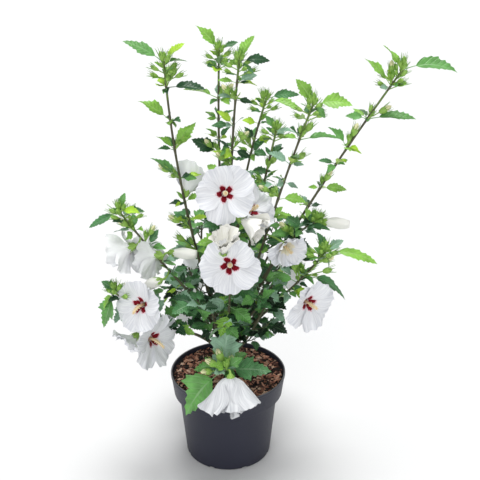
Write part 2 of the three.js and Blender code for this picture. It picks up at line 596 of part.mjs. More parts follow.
// Side twigs by the seeded rule: each leaves the stem a golden angle round from the last one,
// rises as it goes, and carries leaves to both sides and one at its end.
function addTwigs(name, shoot) {
  const rule = TWIG_RULE;
  const random = seededRandom(shoot.seed);
  const { stem, at, parts } = masses[name];
  for (let i = 0; i < shoot.twigs; i += 1) {
    const share = rule.from + (rule.over * (i + 0.5)) / shoot.twigs;
    const place = shoot.enters + (1 - shoot.enters) * share;
    const azimuth = shoot.seed + i * GOLDEN_ANGLE;
    const lift = rule.lift + rule.liftRange * random();
    const length = shoot.reach * (rule.leastReach + (1 - rule.leastReach) * random());
    const sizes = TWIG_LEAVES.map(() => LEAST_LEAF + (1 - LEAST_LEAF) * random());
    const root = at(place);
    const end = root.clone().addScaledVector(heading(azimuth, lift + rule.rise), length);
    const bow = root.clone().addScaledVector(heading(azimuth, lift - rule.sag), 0.5 * length);
    const twigLine = new THREE.QuadraticBezierCurve3(root, bow, end);
    const thickness = taper(TWIG_RADIUS, TWIG_TIP_RADIUS);
    const twig = limb(twigLine, 0, 1, thickness, 3, TWIG_RINGS);
    if (!isFree(twig, limb(twigLine, 0.4, 1, thickness, 3, TWIG_RINGS), name, stem)) continue;
    parts.push(twig);
    TWIG_LEAVES.forEach(({ place: spot, turn, tilt, length: size }, k) => {
      const foot = middleOf(twigLine, 0, TWIG_RINGS, spot);
      addLeaf(name, twig, foot, azimuth + turn, lift + tilt, size * sizes[k]);
    });
  }
}

for (const [name, shoot] of Object.entries(SHOOTS)) {
  const { stem, at } = masses[name];
  for (const [azimuth, lift, length, droop] of shoot.tipLeaves ?? []) {
    addLeaf(name, stem, at(1 - TIP_INSET), azimuth, lift, length, droop);
  }
  for (let i = 1; i <= (shoot.tipBuds ?? 0); i += 1) {
    addBud(name, stem, at(1 - TIP_INSET - i * TIP_SPACING), 60 + i * GOLDEN_ANGLE, 75 - 12 * i, 11);
  }
}
for (const [name, shoot] of Object.entries(SHOOTS)) {
  const { stem, at } = masses[name];
  for (const [place, azimuth, lift, length, droop] of shoot.leaves ?? []) {
    addLeaf(name, stem, at(place), azimuth, lift, length, droop);
  }
  for (const [place, azimuth, lift, stalk] of shoot.buds ?? []) {
    addBud(name, stem, at(place), azimuth, lift, stalk);
  }
}
for (const [name, shoot] of Object.entries(SHOOTS)) if (shoot.twigs) addTwigs(name, shoot);

// ---------- the assembly ----------

const POTTERY = { color: 0x3d3f49, roughness: 0.55, metalness: 0 };
const SOIL = { color: 0x4a3226, roughness: 0.95, metalness: 0 };
const BARK = { color: 0x7b7150, roughness: 0.85, metalness: 0 };
const FOLIAGE = { color: 0x4f8a3a, roughness: 0.6, metalness: 0 };

const shrub = new THREE.Group();

function addNode(name, solid, finish) {
  const mesh = new THREE.Mesh(geometryOf(solid), new THREE.MeshStandardMaterial(finish));
  mesh.name = name;
  shrub.add(mesh);
}

addNode('pot', pot(), POTTERY);
addNode('root_ball', rootBall(), SOIL);
for (const [name, { solid }] of Object.entries(limbs)) addNode(name, solid, BARK);
for (const [name, { parts }] of Object.entries(masses)) {
  const whole = parts.reduce((sum, piece) => sum.add(piece));
  addNode(`mass_${name}`, largestPiece(whole), FOLIAGE);
}

export default shrub;
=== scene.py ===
# A flowering hibiscus shrub (rose of Sharon) in its nursery pot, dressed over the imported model.
# Metres, +Z up, -Y the front. Sizes are given in millimetres and turned into metres by MM.
import json
import math

import bpy
import numpy as np
from mathutils import Matrix, Vector

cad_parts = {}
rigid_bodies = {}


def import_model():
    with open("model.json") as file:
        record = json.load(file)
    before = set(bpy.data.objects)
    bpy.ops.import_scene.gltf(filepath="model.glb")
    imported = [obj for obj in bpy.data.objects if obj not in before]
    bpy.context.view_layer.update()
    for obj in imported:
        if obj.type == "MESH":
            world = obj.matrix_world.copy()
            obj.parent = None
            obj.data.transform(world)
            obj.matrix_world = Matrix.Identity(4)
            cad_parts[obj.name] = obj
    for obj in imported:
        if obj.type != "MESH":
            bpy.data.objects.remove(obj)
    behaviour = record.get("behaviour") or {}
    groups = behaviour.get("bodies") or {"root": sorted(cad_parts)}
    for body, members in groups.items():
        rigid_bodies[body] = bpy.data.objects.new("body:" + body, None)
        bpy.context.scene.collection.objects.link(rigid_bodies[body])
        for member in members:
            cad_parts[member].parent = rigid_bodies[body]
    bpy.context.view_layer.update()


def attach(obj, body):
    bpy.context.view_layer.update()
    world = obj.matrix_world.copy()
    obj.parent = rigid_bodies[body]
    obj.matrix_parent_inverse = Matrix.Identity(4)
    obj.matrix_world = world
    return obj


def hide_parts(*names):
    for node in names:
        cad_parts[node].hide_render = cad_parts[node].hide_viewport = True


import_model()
MM = 0.001
scene = bpy.context.scene

# ---------------------------------------------------------------------------------------------
# The view: a camera in front of the plant, above its top, that looks down on it at 23 degrees
# through a short telephoto lens.
# ---------------------------------------------------------------------------------------------
CAMERA_PLACE = (19.8 * MM, -1280.3 * MM, 930.5 * MM)
CAMERA_DIP = 23.1
CAMERA_LENS = 66.86

camera = bpy.data.objects.new("camera", bpy.data.cameras.new("camera"))
camera.location = CAMERA_PLACE
camera.rotation_euler = (math.radians(90 - CAMERA_DIP), 0, 0)
camera.data.lens = CAMERA_LENS
camera.data.clip_start = 0.05
scene.collection.objects.link(camera)
scene.camera = camera
scene.view_settings.view_transform = "Standard"

# ---------------------------------------------------------------------------------------------
# The studio: a wide pale floor, a bright white surround, one broad light from straight above, which
# puts a pool of soft shade round the pot, and a weaker, broader one from the front.
# ---------------------------------------------------------------------------------------------
FLOOR_SIZE = 24.0
FLOOR_DROP = 0.0005
FLOOR_WHITE = (0.74, 0.74, 0.74, 1)
FLOOR_ROUGHNESS = 0.9
SURROUND_TINT = (0.97, 0.985, 1.0, 1)
SURROUND_GLOW = 0.385


def make_surround():
    """White all round; what it sheds on the plant is dimmer than how it looks itself."""
    surround = bpy.data.worlds.new("surround")
    surround.use_nodes = True
    nodes, links = surround.node_tree.nodes, surround.node_tree.links
    shed = nodes["Background"]
    shed.inputs["Color"].default_value = SURROUND_TINT
    shed.inputs["Strength"].default_value = SURROUND_GLOW
    seen = nodes.new("ShaderNodeBackground")
    seen.inputs["Color"].default_value = (1.0, 1.0, 1.0, 1)
    ray, either = nodes.new("ShaderNodeLightPath"), nodes.new("ShaderNodeMixShader")
    links.new(ray.outputs["Is Camera Ray"], either.inputs[0])
    links.new(shed.outputs[0], either.inputs[1])
    links.new(seen.outputs[0], either.inputs[2])
    links.new(either.outputs[0], nodes["World Output"].inputs["Surface"])
    return surround


scene.world = make_surround()


def add_light(name, power, spread, start):
    """A broad, distant lamp that shines from a direction onto the plant."""
    lamp = bpy.data.lights.new(name, "SUN")
    lamp.energy = power
    lamp.angle = math.radians(spread)
    holder = bpy.data.objects.new(name, lamp)
    holder.rotation_euler = (-Vector(start)).to_track_quat("-Z", "Y").to_euler()
    scene.collection.objects.link(holder)


add_light("overhead", power=2.8, spread=28, start=(0.04, 0.1, 1))
add_light("front_fill", power=1.3, spread=60, start=(-0.15, -1, 0.4))

floor_mesh = bpy.data.meshes.new("floor")
half_floor = FLOOR_SIZE / 2
floor_corners = [(x * half_floor, y * half_floor, -FLOOR_DROP)
                 for x, y in ((-1, -1), (1, -1), (1, 1), (-1, 1))]
floor_mesh.from_pydata(floor_corners, [], [(0, 1, 2, 3)])
floor = bpy.data.objects.new("floor", floor_mesh)
scene.collection.objects.link(floor)
floor_paint = bpy.data.materials.new("floor_paint")
floor_paint.use_nodes = True
floor_shader = floor_paint.node_tree.nodes["Principled BSDF"]
floor_shader.inputs["Base Color"].default_value = FLOOR_WHITE
floor_shader.inputs["Roughness"].default_value = FLOOR_ROUGHNESS
floor_mesh.materials.append(floor_paint)

# ---------------------------------------------------------------------------------------------
# The pot: an injection-moulded nursery pot of matt anthracite plastic, with a wide collar under
# its rim, a tapering body, and drain notches cut round the edge of its underside. The top of
# the rim is painted a lighter grey: a painted highlight along the lip.
# ---------------------------------------------------------------------------------------------
POT_HEIGHT = 150
POT_TOP_RADIUS = 95
POT_COLLAR_HEIGHT = 37
POT_COLLAR_DRAFT = 5
POT_STEP = 8
POT_BASE_RADIUS = 71
POT_WALL = 2.4
POT_LIP = 4.6
POT_LIP_STEP = 0.9
POT_SIDES = 192
DRAIN_COUNT = 8
DRAIN_WIDTH = 9
DRAIN_HEIGHT = 5
DRAIN_FROM = 3.5
DRAIN_PAST = 6
POT_PLASTIC = (0.019, 0.0205, 0.037, 1)
PLASTIC_GLOSS = 0.4
# Painted highlight: the lighter grey of the band along the top of the rim, and how far down that band
# reaches.
RIM_HIGHLIGHT_GREY = (0.15, 0.15, 0.16, 1)
RIM_HIGHLIGHT_DEPTH = 0.7
COLLAR_BOTTOM = POT_HEIGHT - POT_COLLAR_HEIGHT
COLLAR_BOTTOM_RADIUS = POT_TOP_RADIUS - POT_COLLAR_DRAFT
BODY_TOP_RADIUS = COLLAR_BOTTOM_RADIUS - POT_STEP
SHARP_EDGE = 38
GRAIN_DEPTH = 0.8
BOX_FACES = ((0, 1, 3, 2), (4, 6, 7, 5), (0, 4, 5, 1), (2, 3, 7, 6), (0, 2, 6, 4), (1, 5, 7, 3))


def new_surface_group(name, colors, amounts=()):
    """A group with these inputs that puts out a colour and a height, and its two end nodes."""
    group = bpy.data.node_groups.new(name, "ShaderNodeTree")
    sockets = [(color, "INPUT", "NodeSocketColor") for color in colors]
    sockets += [(amount, "INPUT", "NodeSocketFloat") for amount in amounts]
    sockets += [("Color", "OUTPUT", "NodeSocketColor"), ("Height", "OUTPUT", "NodeSocketFloat")]
    for socket, direction, kind in sockets:
        group.interface.new_socket(socket, in_out=direction, socket_type=kind)
    return group, group.nodes.new("NodeGroupInput"), group.nodes.new("NodeGroupOutput")


def make_mottle():
    """A surface whose colour drifts in soft patches, with a fine grain for its bump."""
    group, inside, outside = new_surface_group(
        "mottle", ("Color",), ("Variation", "Patch Scale", "Grain Scale"))
    nodes, links = group.nodes, group.links
    place = nodes.new("ShaderNodeTexCoord")
    patches, grain = nodes.new("ShaderNodeTexNoise"), nodes.new("ShaderNodeTexNoise")
    patches.inputs["Detail"].default_value = 3
    grain.inputs["Detail"].default_value = 2
    for noise, scale in ((patches, "Patch Scale"), (grain, "Grain Scale")):
        links.new(place.outputs["Object"], noise.inputs["Vector"])
        links.new(inside.outputs[scale], noise.inputs["Scale"])
    swing = nodes.new("ShaderNodeMath")
    swing.operation = "SUBTRACT"
    swing.inputs[1].default_value = 0.5
    links.new(patches.outputs["Fac"], swing.inputs[0])
    amount = nodes.new("ShaderNodeMath")
    amount.operation = "MULTIPLY_ADD"
    amount.inputs[2].default_value = 1.0
    links.new(swing.outputs[0], amount.inputs[0])
    links.new(inside.outputs["Variation"], amount.inputs[1])
    tone = nodes.new("ShaderNodeHueSaturation")
    links.new(amount.outputs[0], tone.inputs["Value"])
    links.new(inside.outputs["Color"], tone.inputs["Color"])
    links.new(tone.outputs["Color"], outside.inputs["Color"])
    links.new(grain.outputs["Fac"], outside.inputs["Height"])
    return group


mottle = make_mottle()


def surface_material(name, group, settings, bump, depth, roughness):
    """A material with a surface group in its colour and its bump; returned with its shader."""
    material = bpy.data.materials.new(name)
    material.use_nodes = True
    nodes, links = material.node_tree.nodes, material.node_tree.links
    shader = nodes["Principled BSDF"]
    shader.inputs["Roughness"].default_value = roughness
    surface = nodes.new("ShaderNodeGroup")
    surface.name = "surface"
    surface.node_tree = group
    for socket, value in settings.items():
        surface.inputs[socket].default_value = value
    relief = nodes.new("ShaderNodeBump")
    relief.inputs["Strength"].default_value = bump
    relief.inputs["Distance"].default_value = depth * MM
    links.new(surface.outputs["Height"], relief.inputs["Height"])
    links.new(relief.outputs["Normal"], shader.inputs["Normal"])
    links.new(surface.outputs["Color"], shader.inputs["Base Color"])
    return material, shader


def mottled_material(name, color, variation, patches, grain, bump, roughness):
    """The mottle over a base colour; patches and grain are its scales."""
    settings = {"Color": color, "Variation": variation, "Patch Scale": patches, "Grain Scale": grain}
    return surface_material(name, mottle, settings, bump, GRAIN_DEPTH, roughness)


def add_piece(name, points, faces, materials, finish=None, smooth=True, uv=None):
    """A mesh piece in millimetres, placed in the frame and riding on the plant's one body."""
    mesh = bpy.data.meshes.new(name)
    mesh.from_pydata((np.asarray(points) * MM).tolist(), [], faces)
    for material in materials:
        mesh.materials.append(material)
    if finish is not None:
        mesh.polygons.foreach_set("material_index", np.asarray(finish, dtype=np.int32))
    if uv is not None:
        corners = np.empty(len(mesh.loops), dtype=np.int32)
        mesh.loops.foreach_get("vertex_index", corners)
        mesh.uv_layers.new(name="blade").data.foreach_set("uv", uv[corners].ravel())
    mesh.polygons.foreach_set("use_smooth", np.full(len(mesh.polygons), smooth))
    mesh.update()
    piece = bpy.data.objects.new(name, mesh)
    scene.collection.objects.link(piece)
    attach(piece, "root")
    return piece


def ring_faces(rings, sides, first=0, inward=False):
    """Faces between rings of points; they face out where the rings turn left and go up."""
    faces = []
    for start in range(first, first + (rings - 1) * sides, sides):
        for i in range(sides):
            a, b = start + i, start + (i + 1) % sides
            faces.append((a, a + sides, b + sides, b) if inward else (a, b, b + sides, a + sides))
    return faces


def lathe(outline, sides):
    """Points and faces of an outline of (radius, height) turned about the upright axis."""
    turns = [2 * math.pi * i / sides for i in range(sides)]
    points = [(radius * math.cos(turn), radius * math.sin(turn), height)
              for radius, height in outline for turn in turns]
    return points, ring_faces(len(outline), sides)


def rounded(corner, before, after, radius, steps=4):
    """Points that round a corner of an outline between two straight stretches."""
    corner, before, after = (np.array(p, float) for p in (corner, before, after))
    start = corner + radius * (before - corner) / np.linalg.norm(before - corner)
    end = corner + radius * (after - corner) / np.linalg.norm(after - corner)
    shares = [i / steps for i in range(steps + 1)]
    return [tuple((1 - t) ** 2 * start + 2 * t * (1 - t) * corner + t * t * end) for t in shares]


def body_radius(height):
    """Outside radius of the tapering body."""
    return POT_BASE_RADIUS + (BODY_TOP_RADIUS - POT_BASE_RADIUS) * height / COLLAR_BOTTOM


def pot_outline():
    """The shell's section from the middle of its underside out, up, in and back: each corner
    with the radius that rounds it."""
    shelf = COLLAR_BOTTOM + POT_WALL
    corners = [
        ((0.02, 0), 0), ((POT_BASE_RADIUS - 12, 0), 0.5), ((POT_BASE_RADIUS, 0), 3),
        ((body_radius(DRAIN_HEIGHT + 2), DRAIN_HEIGHT + 2), 0.3), ((body_radius(20), 20), 1),
        ((body_radius(60), 60), 1), ((BODY_TOP_RADIUS, COLLAR_BOTTOM), 1.2),
        ((COLLAR_BOTTOM_RADIUS, COLLAR_BOTTOM), 1.4),
        ((POT_TOP_RADIUS - POT_LIP_STEP, POT_HEIGHT - POT_LIP - 0.8), 0.4),
        ((POT_TOP_RADIUS, POT_HEIGHT - POT_LIP), 0.5), ((POT_TOP_RADIUS, POT_HEIGHT), 1.0),
        ((POT_TOP_RADIUS - POT_WALL, POT_HEIGHT), 1.0),
        ((COLLAR_BOTTOM_RADIUS - POT_WALL, shelf), 1.5),
        ((BODY_TOP_RADIUS - POT_WALL, shelf), 1.5), ((POT_BASE_RADIUS - POT_WALL, POT_WALL), 3),
        ((0.02, POT_WALL), 0),
    ]
    outline = [corners[0][0]]
    for (before, _), (corner, radius), (after, _) in zip(corners, corners[1:], corners[2:]):
        outline += rounded(corner, before, after, radius)
    return outline + [corners[-1][0]]


def cut_drains(shell):
    """Cuts the row of notches round the edge of the underside."""
    points, faces = [], []
    for i in range(DRAIN_COUNT):
        turn = (i + 0.5) * 2 * math.pi / DRAIN_COUNT
        out, side = (math.cos(turn), math.sin(turn)), (-math.sin(turn), math.cos(turn))
        first = len(points)
        for reach in (POT_BASE_RADIUS - DRAIN_FROM, POT_BASE_RADIUS + DRAIN_PAST):
            for sway in (-DRAIN_WIDTH / 2, DRAIN_WIDTH / 2):
                x, y = (reach * out[axis] + sway * side[axis] for axis in (0, 1))
                points += [(x, y, -DRAIN_HEIGHT), (x, y, DRAIN_HEIGHT)]
        faces += [tuple(first + k for k in face) for face in BOX_FACES]
    cutter_mesh = bpy.data.meshes.new("drain_cutter")
    cutter_mesh.from_pydata([tuple(c * MM for c in p) for p in points], [], faces)
    cutter = bpy.data.objects.new("drain_cutter", cutter_mesh)
    scene.collection.objects.link(cutter)
    cut = shell.modifiers.new("drains", "BOOLEAN")
    cut.operation = "DIFFERENCE"
    cut.object = cutter
    bpy.context.view_layer.update()
    carved = bpy.data.meshes.new_from_object(shell.evaluated_get(bpy.context.evaluated_depsgraph_get()))
    shell.modifiers.clear()
    shell.data = carved
    bpy.data.objects.remove(cutter)
    shell.data.set_sharp_from_angle(angle=math.radians(SHARP_EDGE))


pot_plastic, plastic_shader = mottled_material(
    "pot_plastic", POT_PLASTIC, variation=0.45, patches=11, grain=1400, bump=0.4, roughness=0.5)
plastic_shader.inputs["Specular IOR Level"].default_value = PLASTIC_GLOSS
pot_rim_highlight, _ = mottled_material(
    "pot_rim_highlight", RIM_HIGHLIGHT_GREY, variation=0.8, patches=60, grain=1400, bump=0.3, roughness=0.45)
pot_points, pot_faces = lathe(pot_outline(), POT_SIDES)
pot = add_piece("pot_shell", pot_points, pot_faces, [pot_plastic, pot_rim_highlight])
cut_drains(pot)
# Faces within that depth of the top of the rim take the painted highlight.
for face in pot.data.polygons:
    face.material_index = int(face.center.z > (POT_HEIGHT - RIM_HIGHLIGHT_DEPTH) * MM)
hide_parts("pot")

# ---------------------------------------------------------------------------------------------
# The root ball: moist dark substrate that fills the pot nearly to its rim, under a mulch of
# small splintered pine-bark chips in browns from tan to almost black.
# ---------------------------------------------------------------------------------------------
SOIL_TOP = 144
SOIL_RIM_RADIUS = 91.4
SOIL_RINGS = 22
SOIL_SIDES = 96
SOIL_CRUMB = 0.4
# Radius and height of each ring down the inside of the pot, under the rim of the soil's top.
SOIL_SIDE_RINGS = ((SOIL_RIM_RADIUS - 1, 132), (87, 118), (79, 112), (69, 6), (30, 3.0))
SOIL_COLOR = (0.012, 0.007, 0.005, 1)
CHIP_COLORS = ((0.78, 0.52, 0.38, 1), (0.60, 0.30, 0.20, 1), (0.31, 0.13, 0.085, 1),
               (0.08, 0.03, 0.02, 1), (0.012, 0.006, 0.004, 1))
CHIP_SHARES = (0.12, 0.22, 0.24, 0.22, 0.2)
CHIP_COUNT = 2300
CHIP_LENGTH = (3.5, 12.0)
chance = np.random.default_rng(1937)


def soil_height(x, y):
    """The gently uneven top of the soil, which lies flat round the trunk."""
    reach = math.hypot(x, y)
    away = min(1.0, max(0.0, (reach - 15) / 25))
    waves = math.sin(0.11 * x + 1.3) * math.cos(0.09 * y) + 0.6 * math.sin(0.17 * y + 0.4)
    return SOIL_TOP - 1.8 * away + away * 0.9 * waves


def soil_body():
    """A closed body: the uneven top, and the sides and bottom that fit inside the pot."""
    points = [(0, 0, SOIL_TOP)]
    turns = [2 * math.pi * i / SOIL_SIDES for i in range(SOIL_SIDES)]
    for ring in range(1, SOIL_RINGS + 1):
        radius = SOIL_RIM_RADIUS * ring / SOIL_RINGS
        for turn in turns:
            x, y = radius * math.cos(turn), radius * math.sin(turn)
            crumb = SOIL_CRUMB * chance.standard_normal() if ring < SOIL_RINGS else 0
            points.append((x, y, soil_height(x, y) + crumb))
    for radius, height in SOIL_SIDE_RINGS:
        points += [(radius * math.cos(turn), radius * math.sin(turn), height) for turn in turns]
    points.append((0, 0, SOIL_SIDE_RINGS[-1][1]))
    all_rings = SOIL_RINGS + len(SOIL_SIDE_RINGS)
    last = 1 + (all_rings - 1) * SOIL_SIDES
    faces = [(0, 1 + i, 1 + (i + 1) % SOIL_SIDES) for i in range(SOIL_SIDES)]
    faces += ring_faces(all_rings, SOIL_SIDES, first=1, inward=True)
    faces += [(last + i, len(points) - 1, last + (i + 1) % SOIL_SIDES) for i in range(SOIL_SIDES)]
    return points, faces


class Heap:
    """Many small parts of one kind, gathered for one mesh."""

    def __init__(self):
        self.points, self.faces, self.finish, self.uv, self.count = [], [], [], [], 0

    def add(self, points, faces, finish, uv=None):
        """Adds a part; finish is one material index, or one for each face."""
        points = np.asarray(points, float)
        self.points.append(points)
        self.uv.append(np.zeros((len(points), 2)) if uv is None else uv)
        self.faces += [tuple(corner + self.count for corner in face) for face in faces]
        self.finish += [finish] * len(faces) if isinstance(finish, int) else list(finish)
        self.count += len(points)

    def piece(self, name, materials, smooth=True, slot=None):
        """One mesh piece of all that was gathered."""
        return add_piece(name, np.concatenate(self.points), self.faces, materials, self.finish, smooth,
                         np.concatenate(self.uv))


def bark_chips():
    """Flat splintered chips that lie at random on the soil, some of them leaning on others."""
    heap = Heap()
    for _ in range(CHIP_COUNT):
        radius = (SOIL_RIM_RADIUS - 2) * math.sqrt(chance.uniform(0.02, 1))
        turn = chance.uniform(0, 2 * math.pi)
        x, y = radius * math.cos(turn), radius * math.sin(turn)
        length = CHIP_LENGTH[0] + (CHIP_LENGTH[1] - CHIP_LENGTH[0]) * chance.uniform() ** 2
        width, height = length * chance.uniform(0.2, 0.55), length * chance.uniform(0.1, 0.3)
        size = np.array([length, width, height]) / 2
        corners = np.array([(i, j, k) for i in (-1, 1) for j in (-1, 1) for k in (-1, 1)], float) * size
        corners += chance.normal(0, 0.2, (8, 3)) * size
        corners[:, :2] *= (1 - 0.3 * (corners[:, 2:] > 0))
        spin, tilt = chance.uniform(0, 2 * math.pi), chance.normal(0, 0.45)
        turned = Matrix.Rotation(spin, 3, "Z") @ Matrix.Rotation(tilt, 3, "X")
        corners = corners @ np.array(turned).T
        if np.hypot(corners[:, 0] + x, corners[:, 1] + y).max() > SOIL_RIM_RADIUS - 0.3:
            continue
        lift = 0.6 * size[2] + chance.uniform(0, 2.0)
        corners += (x, y, soil_height(x, y) + lift)
        heap.add(corners, BOX_FACES, int(chance.choice(len(CHIP_COLORS), p=CHIP_SHARES)))
    return heap


soil_finish, _ = mottled_material(
    "soil", SOIL_COLOR, variation=1.2, patches=90, grain=700, bump=1.0, roughness=0.95)
soil_points, soil_faces = soil_body()
soil = add_piece("soil", soil_points, soil_faces, [soil_finish])
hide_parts("root_ball")
chip_finishes = [
    mottled_material(f"bark_chip_{i}", color, variation=1.0, patches=220, grain=900, bump=0.7,
                     roughness=0.8)[0]
    for i, color in enumerate(CHIP_COLORS)]
bark_chips().piece("bark_mulch", chip_finishes, smooth=False, slot="soil")

